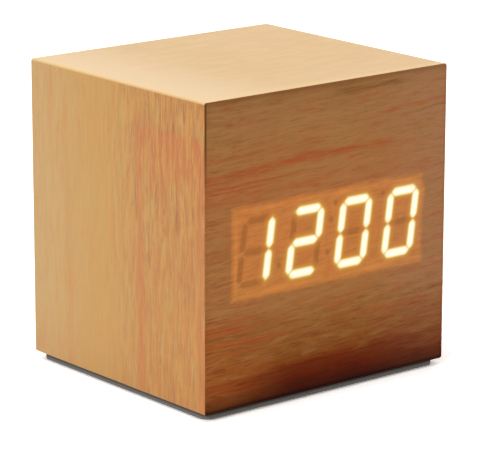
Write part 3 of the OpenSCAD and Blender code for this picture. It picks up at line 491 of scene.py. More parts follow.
def wrapped_sheet(w, where, parts):
    """Honey wood round the body: embers in streaks on the sides, and a calm, pale top."""
    x, y, z = parts
    round_body = w.plus(x, z)
    deep = w.times(w.minus(x, z), 0.02)
    grain = w.use(GRAIN, Along=round_body, Across=y, Deep=deep, Wander=1.6)
    on_top = w.fade(z, BODY_TOP - 0.5, BODY_TOP - 0.1)
    on_left = w.fade(x, 0.25 - HALF_W, 0.02 - HALF_W)
    on_side = w.minus(1.0, on_top)
    from_rear = w.minus(HALF_D, y)
    from_top = w.minus(BODY_TOP, z)
    forward = w.fade(from_rear, 22.0, 40.0)

    colour = w.colours(w.calc("DIVIDE", from_rear, 2 * HALF_D), HONEY_RUN)
    cloudy = w.times(on_side, w.scaled(forward, 0.30, 0.45))
    colour = w.blend(w.times(w.fade(grain["Blotches"], 0.48, 0.70), cloudy), colour, HONEY_ROSY)
    colour = w.blend(w.times(w.fade(grain["Blotches"], 0.50, 0.32), cloudy), colour, HONEY_OLIVE)
    low = w.times(w.fade(from_top, 48.0, 63.0), w.times(on_side, 0.30))
    colour = w.blend(low, colour, HONEY_FOOT)

    # Dark lines: faint at the rear, strong towards the front and strongest under the top edge
    upper = w.fade(from_top, 50.0, 14.0, 0.62, 1.0)
    marked = w.times(w.times(on_side, upper), w.scaled(forward, 0.84, 0.16))
    marked = w.larger(marked, w.times(on_side, w.scaled(on_left, -0.55, 0.55)))
    marked = w.plus(marked, w.times(on_top, 0.55))
    colour = w.tint(w.times(grain["Lines"], marked), colour, HONEY_LINE)
    colour = w.tint(w.times(grain["Threads"], marked), colour, HONEY_THREAD)
    colour = w.tint(w.times(grain["Dashes"], marked), colour, HONEY_DASH)
    pale = w.times(w.fade(grain["Fibres"], 0.54, 0.74, 0.0, 0.42), w.scaled(marked, 0.7, 0.3))
    colour = w.blend(pale, colour, HONEY_FIBRE)

    # A reddish patch starts raggedly below the top edge of the left side and fades downwards
    ragged = w.noise(w.spot(0.0, w.times(y, 0.75), 4.0), detail=4, rough=0.75)
    started = w.minus(from_top, w.scaled(ragged, 13.0, 1.2))
    patch = w.times(w.fade(started, -0.4, 0.5), w.fade(started, 17.0, 2.0, 0.10, 1.0))
    streaky = w.larger(grain["Threads"], w.scaled(grain["Lines"], 0.7, 0.12))
    patch = w.times(w.times(patch, w.fade(from_rear, 34.6, 35.8)), streaky)
    placed = w.times(streaks(w, from_top, from_rear, SIDE_STREAKS), on_left)
    ember = w.larger(placed, w.times(patch, on_left))
    elsewhere = w.times(w.times(grain["Bands"], on_side), w.minus(1.0, on_left))
    ember = w.larger(ember, w.times(elsewhere, 0.45))
    colour = w.blend(w.times(ember, 0.85), colour, EMBER)

    # The top is paler and calmer, with a faint blush; it is paler still towards its left with painted
    # light, and along its near edges with a painted highlight
    calm = w.blend(w.fade(grain["Blotches"], 0.34, 0.66), TOP_DARKER, TOP_LIGHTER)
    calm = w.blend(w.fade(from_rear, 38.0, 52.0, 0.0, 0.4), calm, TOP_FORWARD)
    colour = w.blend(w.times(on_top, 0.85), colour, calm)
    blush = w.fade(w.noise(where, 0.10, 4, 0.6), 0.52, 0.68)
    colour = w.blend(w.times(w.times(blush, on_top), 0.45), colour, TOP_BLUSH)
    # Painted light paling the top towards its left edge
    top_painted_light = w.times(on_top, w.fade(x, -6.0, -31.0))
    colour = w.blend(w.times(top_painted_light, 0.85), colour, TOP_LEFT_PAINTED_LIGHT)
    # Painted highlight along the top's near front and left edges
    near = w.larger(w.fade(y, 4.0 - HALF_D, 0.5 - HALF_D), w.fade(x, 2.5 - HALF_W, 0.6 - HALF_W))
    colour = w.blend(w.times(w.times(near, on_top), 0.5), colour, TOP_EDGE_HIGHLIGHT)
    return wood_skin(w, grain, colour, line_height=-0.35, roughening=0.14, rough=0.33)


# The front and rear sheets, with their grain from left to right. The run of colours goes from top to
# bottom and darkens towards the bottom, partly the wood's own tone and partly painted shade.
CHESTNUT_AND_SHADE_RUN = [
    (0.0, (0.380, 0.172, 0.054)), (0.10, (0.435, 0.202, 0.070)), (0.22, (0.450, 0.196, 0.060)),
    (0.30, (0.490, 0.192, 0.060)), (0.68, (0.470, 0.200, 0.060)), (0.78, (0.375, 0.146, 0.036)),
    (0.86, (0.310, 0.100, 0.018)), (0.90, (0.220, 0.046, 0.004)), (0.945, (0.130, 0.016, 0.001)),
    (1.0, (0.042, 0.004, 0.0005)),
]
CORNER_RUST = (0.465, 0.160, 0.034)
SALLOW = (0.445, 0.215, 0.100)
SALLOW_LOW_SHADE = (0.33, 0.122, 0.048)
CHESTNUT_ROSY = (1.02, 0.78, 0.76)
CHESTNUT_OLIVE = (0.425, 0.205, 0.062)
CHESTNUT_LINE = (0.62, 0.42, 0.30)
CHESTNUT_THREAD = (0.50, 0.32, 0.25)
CHESTNUT_DASH = (0.40, 0.28, 0.25)
CHESTNUT_FIBRE = (0.62, 0.31, 0.11)
STREAK_RED = (0.445, 0.072, 0.015)
STREAK_RED_SHADED = (0.16, 0.012, 0.001)
STREAK_DARK = (0.115, 0.032, 0.006)
STREAK_REAR = (0.45, 0.11, 0.03)
# The next two darken the front's edges: joint lines partly painted shade, and painted shade along the
# bottom
JOINT_DARK_AND_SHADE = (0.12, 0.040, 0.010)
BOTTOM_EDGE_SHADE = (0.01, 0.002, 0.001)

# On the front and rear, streaks run across: start and end are from the left, place is from the top
FRONT_STREAKS = [
    (-6, 30, 16.4, -0.075, 1.6, 0.65, 1.6), (-6, 24, 15.9, -0.06, 0.6, 1.0, 1.0),
    (16, 48, 14.4, -0.012, 1.0, 0.75, 1.4), (34, 48, 14.1, 0.04, 0.8, 0.45, 1.2),
    (-4, 22, 17.7, -0.02, 0.5, 0.7, 0.8), (-4, 17, 18.6, -0.02, 0.4, 0.6, 0.8),
    (-4, 20, 12.7, -0.075, 0.45, 0.55, 0.8), (12, 24, 11.6, 0.03, 1.0, 0.30, 1.2),
    (-4, 30, 20.0, -0.02, 1.4, 0.25, 2.0), (-3, 10, 46.0, 0.03, 1.4, 0.75, 1.2),
    (-4, 13, 44.0, 0.03, 0.7, 0.5, 1.2), (-4, 12, 48.0, 0.05, 0.45, 0.7, 0.8),
    (-4, 20, 49.0, 0.02, 0.5, 0.7, 0.8), (10, 22, 49.2, 0.0, 0.6, 0.8, 0.8),
    (-4, 14, 50.6, 0.03, 0.5, 0.5, 0.8), (-4, 26, 57.4, -0.02, 0.8, 0.9, 1.2),
    (2, 44, 58.4, -0.02, 1.3, 0.7, 1.6), (18, 50, 56.6, -0.01, 0.9, 0.8, 1.2),
    (34, 64, 56.2, -0.01, 1.2, 0.5, 1.6), (44, 64, 8.0, -0.06, 1.0, 0.35, 1.5),
    (36, 60, 49.0, -0.01, 1.4, 0.25, 2.0),
]
DARK_STREAKS = [
    (33, 52, 2.4, -0.02, 0.9, 0.50, 1.0), (52, 66, 9.0, -0.08, 0.5, 0.35, 0.8),
    (6, 24, 57.9, -0.045, 0.4, 0.50, 0.7), (-2, 12, 47.2, 0.05, 0.35, 0.40, 0.7),
    (-2, 10, 49.9, 0.03, 0.35, 0.40, 0.7), (12, 20, 48.6, 0.0, 0.3, 0.35, 0.5),
    (14, 62, 57.6, -0.02, 0.8, 0.36, 1.4),
]
REAR_STREAKS = [
    (-4, 40, 9.5, -0.03, 1.1, 0.7, 1.8), (20, 66, 50.0, 0.02, 1.3, 0.7, 2.0),
    (0, 30, 53.5, 0.0, 0.8, 0.5, 1.2), (30, 66, 14.0, -0.04, 0.7, 0.5, 1.2),
    (-4, 66, 58.6, 0.0, 0.9, 0.6, 1.6),
]
GRAIN_SLOPE = 0.05


def chestnut(w, parts, deep):
    """The wood of the front and rear sheets without its streaks; deep picks another cut of it."""
    x, _, z = parts
    from_left = w.plus(x, HALF_W)
    from_top = w.minus(BODY_TOP, z)
    across = w.scaled(from_left, GRAIN_SLOPE, from_top)
    grain = w.use(GRAIN, Along=from_left, Across=across, Deep=deep, Wander=3.2)
    settled = w.scaled(from_left, -GRAIN_SLOPE, grain["Bent"])
    # Darker towards the bottom, partly the wood's tone and partly painted shade
    colour = w.colours(w.calc("DIVIDE", settled, BODY_TOP - BODY_BOTTOM), CHESTNUT_AND_SHADE_RUN)

    # Warmer in the lower left corner, greyer at the right, and the grey darker low down, partly painted
    # shade
    to_left = w.fade(from_left, 17.0, 0.0)
    low = w.fade(from_top, 42.0, 55.0)
    corner = w.times(w.fade(from_left, 24.0, 0.0), low)
    warm = w.times(corner, w.fade(from_top, 64.0, 56.0, 0.10, 0.92))
    colour = w.blend(warm, colour, CORNER_RUST)
    sallow = w.times(w.fade(from_left, 38.0, 61.0), w.fade(from_top, 61.0, 54.0, 0.15, 0.75))
    colour = w.blend(sallow, colour, w.blend(low, SALLOW, SALLOW_LOW_SHADE))
    colour = w.tint(w.fade(grain["Blotches"], 0.48, 0.72, 0.0, 0.8), colour, CHESTNUT_ROSY)
    olive = w.times(w.fade(grain["Blotches"], 0.48, 0.32, 0.0, 0.5), w.fade(from_top, 60.0, 52.0))
    colour = w.blend(olive, colour, CHESTNUT_OLIVE)

    busy = w.plus(w.fade(from_top, 40.0, 47.0, 0.0, 0.18), w.scaled(to_left, 0.18, 0.20))
    colour = w.tint(w.times(grain["Lines"], busy), colour, CHESTNUT_LINE)
    colour = w.tint(w.times(grain["Threads"], busy), colour, CHESTNUT_THREAD)
    colour = w.tint(w.times(grain["Dashes"], 0.18), colour, CHESTNUT_DASH)
    pale = w.fade(grain["Fibres"], 0.53, 0.74, 0.0, 0.26)
    colour = w.blend(w.times(pale, w.fade(from_top, 58.0, 50.0, 0.05, 1.0)), colour, CHESTNUT_FIBRE)
    return colour, grain, from_left, from_top


# The display's light in the sheet. HALO_RUN goes from the middle of a lit segment outwards.
UNLIT_WOOD = (0.16, 0.050, 0.016)
WINDOW_WOOD = (0.45, 0.165, 0.035)
GLOW_DIM = (0.150, 0.038, 0.005)
GLOW_BRIGHT = (0.200, 0.062, 0.011)
GLOW_FRAME = (0.26, 0.086, 0.013)
GLOW_UNLIT = (0.03, 0.008, 0.001)
HALO_RUN = [
    (0.0, (0.72, 0.87, 0.82)), (0.176, (0.71, 0.87, 0.78)), (0.265, (0.69, 0.80, 0.54)),
    (0.318, (0.56, 0.50, 0.19)), (0.368, (0.34, 0.240, 0.048)), (0.425, (0.235, 0.122, 0.016)),
    (0.52, (0.205, 0.080, 0.008)), (0.66, (0.180, 0.052, 0.004)), (0.90, (0.0, 0.0, 0.0)),
]
HALO_START = 0.95
HALO_REACH = 3.4


def front_sheet(w, where, parts):
    """Chestnut wood with red and dark streaks, and the display's light coming through it."""
    colour, grain, from_left, from_top = chestnut(w, parts, deep=3.0)
    ember = streaks(w, from_left, from_top, FRONT_STREAKS)
    # The red streaks turn dark towards the bottom, partly the wood's tone and partly painted shade, less
    # so at the left
    streak_low_shade = w.times(w.fade(from_top, 50.0, 57.0), w.fade(from_left, 0.0, 24.0, 0.40, 1.0))
    deep_red = w.blend(streak_low_shade, STREAK_RED, STREAK_RED_SHADED)
    colour = w.blend(w.times(ember, 0.92), colour, deep_red)
    dark = streaks(w, from_left, from_top, DARK_STREAKS, seed=7.0)
    colour = w.blend(dark, colour, STREAK_DARK)

    # The window and the unlit segments show in the wood as well as in the light
    x, _, z = parts
    shown = w.use(DISPLAY_MAP, Right=x, Up=w.minus(z, FACE_MIDDLE))
    lit, unlit, inside = shown["Lit"], shown["Unlit"], shown["Window"]
    haze = w.noise(where, 0.45, 4, 0.65)
    window = w.fade(w.scaled(haze, -0.5, inside), 0.25, -0.85)
    window = w.times(window, w.fade(from_left, 59.0, 53.5, 0.72, 1.0))
    ghost = w.times(w.fade(unlit, 0.30, -0.36), w.fade(lit, 0.15, 0.6))
    colour = w.blend(w.times(ghost, 0.36), colour, UNLIT_WOOD)
    colour = w.blend(w.times(window, 0.3), colour, WINDOW_WOOD)

    # A dark seam at the upper left edge and a dark rim along the top edge, dark joint lines partly
    # painted with the shade of their gaps, and painted shade along the bottom edge where the body sits on
    # its foot
    seam_and_shade = w.times(w.fade(from_left, 0.75, 0.40), w.fade(from_top, 20.0, 8.0, 0.0, 0.85))
    rim_and_shade = w.larger(w.fade(from_top, 1.6, 0.4, 0.0, 0.25), w.fade(from_top, 61.4, 62.3, 0.0, 0.7))
    edge = w.larger(seam_and_shade, rim_and_shade)
    colour = w.blend(edge, colour, w.blend(w.fade(from_top, 40.0, 50.0), JOINT_DARK_AND_SHADE, BOTTOM_EDGE_SHADE))

    # Light comes through the sheet unevenly, as the grain lets it
    through = w.scaled(grain["Lines"], -0.30, w.scaled(grain["Blotches"], 0.8, 0.68))
    glow = w.blend(w.fade(haze, 0.3, 0.7), GLOW_DIM, GLOW_BRIGHT)
    frame_glow = w.times(w.fade(inside, -0.5, -0.9), w.fade(inside, -1.9, -1.3))
    frame_glow = w.times(frame_glow, w.fade(w.noise(where, 0.16, 3, 0.6), 0.36, 0.62, 0.25, 0.85))
    glow = w.blend(frame_glow, glow, GLOW_FRAME)
    glow = w.blend(w.times(ghost, 0.55), glow, GLOW_UNLIT)
    glow = w.blend(w.times(window, through), (0, 0, 0), glow)
    halo = w.colours(w.calc("DIVIDE", w.plus(lit, HALO_START), HALO_REACH), HALO_RUN)
    glow = w.blend(1.0, glow, halo, kind="LIGHTEN")
    made = wood_skin(w, grain, colour, line_height=-0.4, roughening=0.16, rough=0.40)
    made["Emission Color"] = glow
    return made


def rear_sheet(w, where, parts):
    """The front's wood the other way round, from another cut, with broad streaks of its own."""
    x, y, z = parts
    colour, grain, from_left, from_top = chestnut(w, (w.times(x, -1.0), y, z), deep=11.0)
    ember = streaks(w, from_left, from_top, REAR_STREAKS)
    colour = w.blend(w.times(ember, 0.75), colour, STREAK_REAR)
    return wood_skin(w, grain, colour, line_height=-0.4, roughening=0.16, rough=0.40)


def raw_fibreboard(w, where, parts):
    """Pressed fibres with darker chips."""
    fuzz = w.noise(where, 3.2, 4, 0.7)
    chips = w.cells(where, 1.7)
    colour = w.blend(fuzz, (0.40, 0.245, 0.125), (0.62, 0.42, 0.245))
    colour = w.blend(w.fade(chips, 0.0, 0.35, 0.35, 0.0), colour, (0.27, 0.15, 0.07))
    return surface(colour, w.fade(fuzz, 0.2, 0.8, 0.75, 0.95), fuzz, 0.12)


def foam(w, where, parts):
    """Grey foam with open bubbles, with painted shade darkening it up under the body."""
    bubbles = w.cells(where, 3.6)
    small = w.noise(where, 5.5, 3, 0.6)
    # Painted shade: dark up under the body, lighter down at the floor
    low = w.fade(parts[2], 1.35, 0.1)
    colour = w.blend(low, (0.075, 0.068, 0.060), (0.300, 0.295, 0.280))
    colour = w.blend(w.fade(small, 0.35, 0.7, 0.0, 0.45), colour, (0.10, 0.10, 0.10))
    colour = w.blend(w.fade(bubbles, 0.28, 0.02, 0.0, 0.5), colour, (0.01, 0.01, 0.011))
    height = w.scaled(w.fade(bubbles, 0.0, 0.35), 0.7, w.times(small, 0.3))
    return surface(colour, w.fade(small, 0.2, 0.8, 0.8, 0.96), height, 0.08)


def moulding(dark, light, rough, skin_depth=0.02):
    """Moulded plastic between two tones, paler where it is scuffed."""
    def make(w, where, parts):
        skin = w.use(MOULD_SKIN, Where=where)
        colour = w.blend(skin["Cloud"], dark, light)
        worn = tuple(min(1.0, c * 2.2 + 0.012) for c in light)
        colour = w.blend(w.times(skin["Scuffs"], 0.35), colour, worn)
        return surface(colour, w.scaled(skin["Skin"], 0.16, rough), skin["Skin"], skin_depth)
    return make


def milky_guide(light=None):
    """A light guide of cloudy plastic, with flow marks; light is the colour that it glows in."""
    def make(w, where, parts):
        flow = w.noise(where, 0.8, 3, 0.6, 0.8)
        colour = w.blend(flow, (0.58, 0.55, 0.48), (0.70, 0.68, 0.60))
        made = surface(colour, w.fade(flow, 0.2, 0.8, 0.25, 0.45))
        if light:
            made["Emission Color"] = w.blend(flow, tuple(0.8 * c for c in light), light)
        return made
    return make


def metal(dark, light, rough=0.25):
    """Bare metal between two tones, with drawing lines and stains."""
    def make(w, where, parts):
        skin = w.use(METAL_SKIN, Where=where)
        colour = w.blend(skin["Stains"], dark, light)
        return surface(colour, w.scaled(skin["Drawn"], 0.2, rough), skin["Drawn"], 0.006)
    return make


def circuit_board(w, where, parts):
    """Green lacquer over copper tracks, which run from side to side in broken lanes."""
    x, _, z = parts
    lane = w.spot(w.calc("SNAP", x, TRACK_PITCH), 0.0, w.calc("SNAP", z, 2 * TRACK_PITCH))
    lanes = w.noise(lane, 0.9, 1)
    run = w.calc("ABSOLUTE", w.minus(w.calc("FRACT", w.calc("DIVIDE", z, TRACK_PITCH)), 0.5))
    track = w.times(w.fade(run, 0.17, 0.12), w.fade(lanes, 0.47, 0.5))
    colour = w.blend(w.noise(where, 0.4, 2), (0.006, 0.075, 0.028), (0.010, 0.100, 0.038))
    colour = w.blend(track, colour, (0.018, 0.165, 0.062))
    weave = w.noise(where, 6.0, 2)
    rough = w.fade(weave, 0.2, 0.8, 0.26, 0.4)
    return surface(colour, rough, w.scaled(track, 1.0, w.times(weave, 0.2)), 0.03)


def cell_wrap(w, where, parts):
    """Plain shrink sleeve of a battery cell: dark body, silver-grey shoulder, nothing printed."""
    x, y, z = parts
    row = w.calc("SIGN", w.minus(CELL_PITCH / 2, w.calc("ABSOLUTE", y)))
    shoulder = w.fade(w.times(x, row), -CELL_SHOULDER, -CELL_SHOULDER - 0.3)
    shine = w.noise(where, 0.5, 3)
    body = w.blend(shine, (0.030, 0.032, 0.038), (0.052, 0.055, 0.064))
    colour = w.blend(shoulder, body, w.blend(shine, (0.50, 0.51, 0.53), (0.64, 0.65, 0.67)))
    creases = w.noise(w.spot(w.times(x, 0.3), y, z), 4.0, 3)
    metallic = w.scaled(shoulder, 0.6, 0.3)
    return surface(colour, w.fade(creases, 0.2, 0.8, 0.22, 0.36), creases, 0.02, Metallic=metallic)


def wire_skin(w, where, parts):
    """Shiny insulation: black, and red on the lead that comes in at the right of the socket."""
    smear = w.noise(where, 1.4, 3, 0.6)
    plus = w.fade(parts[0], SOCKET.x - 0.2, SOCKET.x + 0.2)
    colour = w.blend(smear, (0.014, 0.014, 0.016), (0.030, 0.030, 0.034))
    colour = w.blend(plus, colour, w.blend(smear, (0.40, 0.018, 0.014), (0.52, 0.032, 0.022)))
    return surface(colour, w.fade(smear, 0.2, 0.8, 0.32, 0.5), smear, 0.03)


WHITE_NYLON = moulding((0.62, 0.61, 0.57), (0.72, 0.71, 0.67), 0.4)
GREY_HOUSING = moulding((0.30, 0.30, 0.295), (0.37, 0.37, 0.36), 0.5)
GREY_RIBBON = moulding((0.30, 0.30, 0.31), (0.42, 0.42, 0.43), 0.45)
YELLOW_CHIP = moulding((0.62, 0.50, 0.14), (0.78, 0.66, 0.24), 0.2)
BLACK_EPOXY = moulding((0.018, 0.018, 0.019), (0.030, 0.030, 0.031), 0.55)
BLACK_CASE = moulding((0.013, 0.013, 0.014), (0.021, 0.021, 0.022), 0.40, 0.03)
BLACK_KEY = moulding((0.022, 0.022, 0.023), (0.034, 0.034, 0.036), 0.30)
STEEL = metal((0.50, 0.50, 0.50), (0.66, 0.66, 0.67))
TIN = metal((0.58, 0.57, 0.54), (0.76, 0.75, 0.72), 0.22)
GOLD = metal((0.78, 0.52, 0.18), (0.92, 0.66, 0.28), 0.16)
CAN = metal((0.62, 0.62, 0.63), (0.78, 0.78, 0.79), 0.2)
WARM_LIGHT = (0.80, 0.66, 0.40)

FINISHES = {
    "veneer_wrap": finish_of("wrapped_wood_sheet", wrapped_sheet, Specular_IOR_Level=0.5),
    "veneer_front": finish_of("front_wood_sheet", front_sheet, Specular_IOR_Level=0.05,
                              Emission_Strength=1.0),
    "veneer_rear": finish_of("rear_wood_sheet", rear_sheet, Specular_IOR_Level=0.25),
    "fibreboard": finish_of("raw_fibreboard", raw_fibreboard, Specular_IOR_Level=0.2),
    "foam_grey": finish_of("foam_pad", foam, Specular_IOR_Level=0.15),
    "segment_lit": finish_of("lit_guide", milky_guide(WARM_LIGHT), Emission_Strength=0.8),
    "segment_unlit": finish_of("dark_guide", milky_guide()),
    "housing_grey": finish_of("grey_housing", GREY_HOUSING),
    "led_chip": finish_of("light_chip", YELLOW_CHIP),
    "board_green": finish_of("circuit_board", circuit_board),
    "spacer_white": finish_of("white_nylon", WHITE_NYLON),
    "steel": finish_of("plated_steel", STEEL, Metallic=1.0),
    "tin": finish_of("tinned_metal", TIN, Metallic=1.0),
    "gold": finish_of("gilt_pin", GOLD, Metallic=1.0),
    "chip_black": finish_of("moulded_epoxy", BLACK_EPOXY),
    "can_silver": finish_of("drawn_can", CAN, Metallic=1.0),
    "case_black": finish_of("black_moulding", BLACK_CASE, Specular_IOR_Level=0.35),
    "button_black": finish_of("button_plastic", BLACK_KEY),
    "cell_wrap": finish_of("cell_sleeve", cell_wrap),
    "wires": finish_of("wire_insulation", wire_skin),
    "ribbon_grey": finish_of("ribbon_insulation", GREY_RIBBON),
}


def dress(piece, finish):
    piece.data.materials.clear()
    piece.data.materials.append(finish)
    for face in piece.data.polygons:
        face.material_index = 0


def work_in(piece):
    """Works a piece's modifiers into its mesh and takes them off."""
    solid = bpy.data.meshes.new_from_object(piece.evaluated_get(bpy.context.evaluated_depsgraph_get()))
    piece.modifiers.clear()
    piece.data = solid


SLOT_OF = {row["node"]: row["material_slot"] for row in frame["record"]["subparts"]}
for node_name, node_object in nodes.items():
    finish = "veneer_rear" if node_name == "rear_veneer" else SLOT_OF[node_name]
    dress(node_object, FINISHES[finish])


# Corners nearer than SAME_POINT are one, faces within SAME_PLANE are level, edges over SHARP are rounded
SAME_POINT = 0.002 * MM
SAME_PLANE = math.radians(0.5)
SHARP = math.radians(32)
ROUNDING_STEPS = 3


def softened(node, body, name, width):
    """Stands for a CAD node: its shape with the sharp edges rounded over by width, in millimetres."""
    mesh = nodes[node].data.copy()
    made = bmesh.new()
    made.from_mesh(mesh)
    bmesh.ops.remove_doubles(made, verts=made.verts, dist=SAME_POINT)
    bmesh.ops.dissolve_limit(made, angle_limit=SAME_PLANE, verts=made.verts, edges=made.edges)
    made.to_mesh(mesh)
    made.free()
    piece = put(name, mesh)
    for face in mesh.polygons:
        face.use_smooth = True
    bevel = piece.modifiers.new("round_over", "BEVEL")
    bevel.width, bevel.segments = width * MM, ROUNDING_STEPS
    bevel.limit_method, bevel.angle_limit = "ANGLE", SHARP
    bevel.use_clamp_overlap = True
    level = piece.modifiers.new("level_faces", "WEIGHTED_NORMAL")
    level.keep_sharp = True
    work_in(piece)
    dress(piece, FINISHES[SLOT_OF[node]])
    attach(piece, body)
    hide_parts(node)
    return piece


# How far from the sheet's end a face still belongs to its cut end
CUT_END = 0.3


def cut_ends(piece):
    """The wrapped sheet's cut ends and inner wall carry on the wood of the face that they frame."""
    piece.data.materials.append(FINISHES["veneer_front"])
    piece.data.materials.append(FINISHES["veneer_rear"])
    for face in piece.data.polygons:
        x, y, z = face.center / MM
        inward = x * face.normal.x + (z - FACE_MIDDLE) * face.normal.z < -0.5
        # Along the bottom the rounded edge belongs to the cut end too
        facing = 0.15 if z < BODY_BOTTOM + CUT_END else 0.8
        if inward or (-face.normal.y > facing and y < CUT_END - HALF_D):
            face.material_index = 1
        elif face.normal.y > facing and y > HALF_D - CUT_END:
            face.material_index = 2


# How much wider than its node the front sheet is on each side, to fill the gap round it
PRESSED_IN = 0.095


def seamless_front():
    """The front as one unbroken sheet, pressed into the wrap, with the light guides behind it."""
    low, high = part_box("front_veneer")
    made = bmesh.new()
    bmesh.ops.create_cube(made, size=1.0)
    for vert in made.verts:
        for axis, spread in ((0, PRESSED_IN * MM), (1, 0.0), (2, PRESSED_IN * MM)):
            side = 1 if vert.co[axis] > 0 else -1
            vert.co[axis] = (high if side > 0 else low)[axis] + side * spread
    bmesh.ops.bevel(made, geom=made.edges, offset=0.02 * MM, segments=2, profile=0.5, affect="EDGES")
    mesh = bpy.data.meshes.new("front_wood")
    made.to_mesh(mesh)
    made.free()
    piece = put("front_wood", mesh)
    dress(piece, FINISHES["veneer_front"])
    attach(piece, "case")
    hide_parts("front_veneer")
    behind = high[1] + 0.01 * MM
    for node in ("lit_segments", "unlit_segments", "indicator_dots"):
        guide = nodes[node].data.copy()
        for vert in guide.vertices:
            vert.co.y = max(vert.co.y, behind)
        short = put(node + "_behind", guide)
        dress(short, FINISHES[SLOT_OF[node]])
        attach(short, "case")
        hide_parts(node)


def make_wire_tree():
    """Geometry nodes: a smooth round wire of one thickness along every line of the given mesh."""
    tree = bpy.data.node_groups.new("round_wire", "GeometryNodeTree")
    for label, kind, way in (
        ("Lines", "Geometry", "INPUT"), ("Thickness", "Float", "INPUT"), ("Sides", "Int", "INPUT"),
        ("Smoothing", "Int", "INPUT"), ("Finish", "Material", "INPUT"), ("Wire", "Geometry", "OUTPUT"),
    ):
        tree.interface.new_socket(label, in_out=way, socket_type="NodeSocket" + kind)
    w = Wiring(tree)
    given = w.add("NodeGroupInput").outputs
    path = w.add("GeometryNodeMeshToCurve")
    w.feed(path.inputs["Mesh"], given["Lines"])
    smooth = w.add("GeometryNodeCurveSplineType", spline_type="CATMULL_ROM")
    w.feed(smooth.inputs["Curve"], path.outputs["Curve"])
    finer = w.add("GeometryNodeSetSplineResolution")
    w.feed(finer.inputs["Geometry"], smooth.outputs["Curve"])
    w.feed(finer.inputs["Resolution"], given["Smoothing"])
    section = w.add("GeometryNodeCurvePrimitiveCircle")
    w.feed(section.inputs["Resolution"], given["Sides"])
    w.feed(section.inputs["Radius"], w.times(given["Thickness"], 0.5))
    skin = w.add("GeometryNodeCurveToMesh")
    w.feed(skin.inputs["Curve"], finer.outputs["Geometry"])
    w.feed(skin.inputs["Profile Curve"], section.outputs["Curve"])
    skin.inputs["Fill Caps"].default_value = True
    shaded = w.add("GeometryNodeSetShadeSmooth")
    w.feed(shaded.inputs["Geometry"], skin.outputs["Mesh"])
    real = w.add("GeometryNodeRealizeInstances")
    w.feed(real.inputs["Geometry"], shaded.outputs["Geometry"])
    coloured = w.add("GeometryNodeSetMaterial")
    w.feed(coloured.inputs["Geometry"], real.outputs["Geometry"])
    w.feed(coloured.inputs["Material"], given["Finish"])
    w.feed(w.add("NodeGroupOutput").inputs["Wire"], coloured.outputs["Geometry"])
    return tree


WIRE_TREE = make_wire_tree()


def wires(name, node, lines, thickness, smoothing=4):
    """Stands for a CAD node of wires: each line is a list of points in millimetres."""
    points, edges = [], []
    for line in lines:
        edges += [(len(points) + k, len(points) + k + 1) for k in range(len(line) - 1)]
        points += [[c * MM for c in point] for point in line]
    mesh = bpy.data.meshes.new(name)
    mesh.from_pydata(points, edges, [])
    piece = put(name, mesh)
    drawn = piece.modifiers.new("draw_wire", "NODES")
    drawn.node_group = WIRE_TREE
    values = {
        "Thickness": thickness * MM, "Sides": WIRE_SIDES, "Smoothing": smoothing,
        "Finish": FINISHES[SLOT_OF[node]],
    }
    for item in WIRE_TREE.interface.items_tree:
        if item.item_type == "SOCKET" and item.in_out == "INPUT" and item.name in values:
            drawn[item.identifier] = values[item.name]
    work_in(piece)
    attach(piece, "case")
    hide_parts(node)


def route(stops, steps):
    """A smooth way between four stops, with a short straight piece at each end."""
    a, b, c, d = [Vector(stop) for stop in stops]
    start, end = a + LEAD_STUB * (b - a).normalized(), d - LEAD_STUB * (d - c).normalized()
    line = [a]
    for k in range(steps + 1):
        t = k / steps
        u = 1 - t
        line.append(u ** 3 * start + 3 * u ** 2 * t * b + 3 * u * t * t * c + t ** 3 * end)
    return line + [d]


def battery_wires():
    """The red and the black lead, from the contact plates' tabs over the tray and into the socket."""
    x, y, z = SOCKET
    right, left, deep = x + LEAD_SPREAD, x - LEAD_SPREAD, y - SOCKET_DEPTH
    plus = [(PLATE_X, -CELL_PITCH, TAB_Z), (PLATE_X - 6, -CELL_PITCH, TAB_Z),
            (right, y + 6, z), (right, deep, z)]
    minus = [(-PLATE_X, CELL_PITCH, TAB_Z), (-6, CELL_PITCH, TAB_Z),
             (left, y + 14, z), (left, deep, z)]
    wires("battery_wires", "battery_leads", [route(plus, 16), route(minus, 20)], LEAD_D)


def ribbon_wires():
    """The flat ribbon's cores side by side, from the button board down to the main board."""
    lines = []
    for k in range(RIBBON_CORES):
        x = RIBBON_X + (k - RIBBON_CORES // 2) * RIBBON_PITCH
        high, low = RIBBON_HIGH_Z, RIBBON_LOW_Z
        stops = [(x, RIBBON_REAR_Y, high), (x, 4, high), (x, -6, low), (x, BOARD_BACK, low)]
        lines.append(route(stops, 16))
    wires("ribbon_wires", "button_ribbon", lines, LEAD_D)


def contact_coils():
    """Cone springs, wide at the contact plates and narrow at the cells."""
    reach = SPRING_LENGTH - SPRING_WIRE - 2 * SPRING_CLEAR
    steps = SPRING_TURNS * SPRING_STEPS
    lines = []
    for row, side in SPRING_SIDE.items():
        start = side * (PLATE_X - SPRING_WIRE / 2 - SPRING_CLEAR)
        line = []
        for k in range(steps + 1):
            along = k / steps
            radius = SPRING_WIDE_R + (SPRING_NARROW_R - SPRING_WIDE_R) * along
            turn = math.radians(360 / SPRING_STEPS * k)
            line.append((start - side * reach * along, row * CELL_PITCH + radius * math.cos(turn),
                         CELL_Z + radius * math.sin(turn)))
        lines.append(line)
    wires("contact_coils", "contact_springs", lines, SPRING_WIRE, smoothing=2)


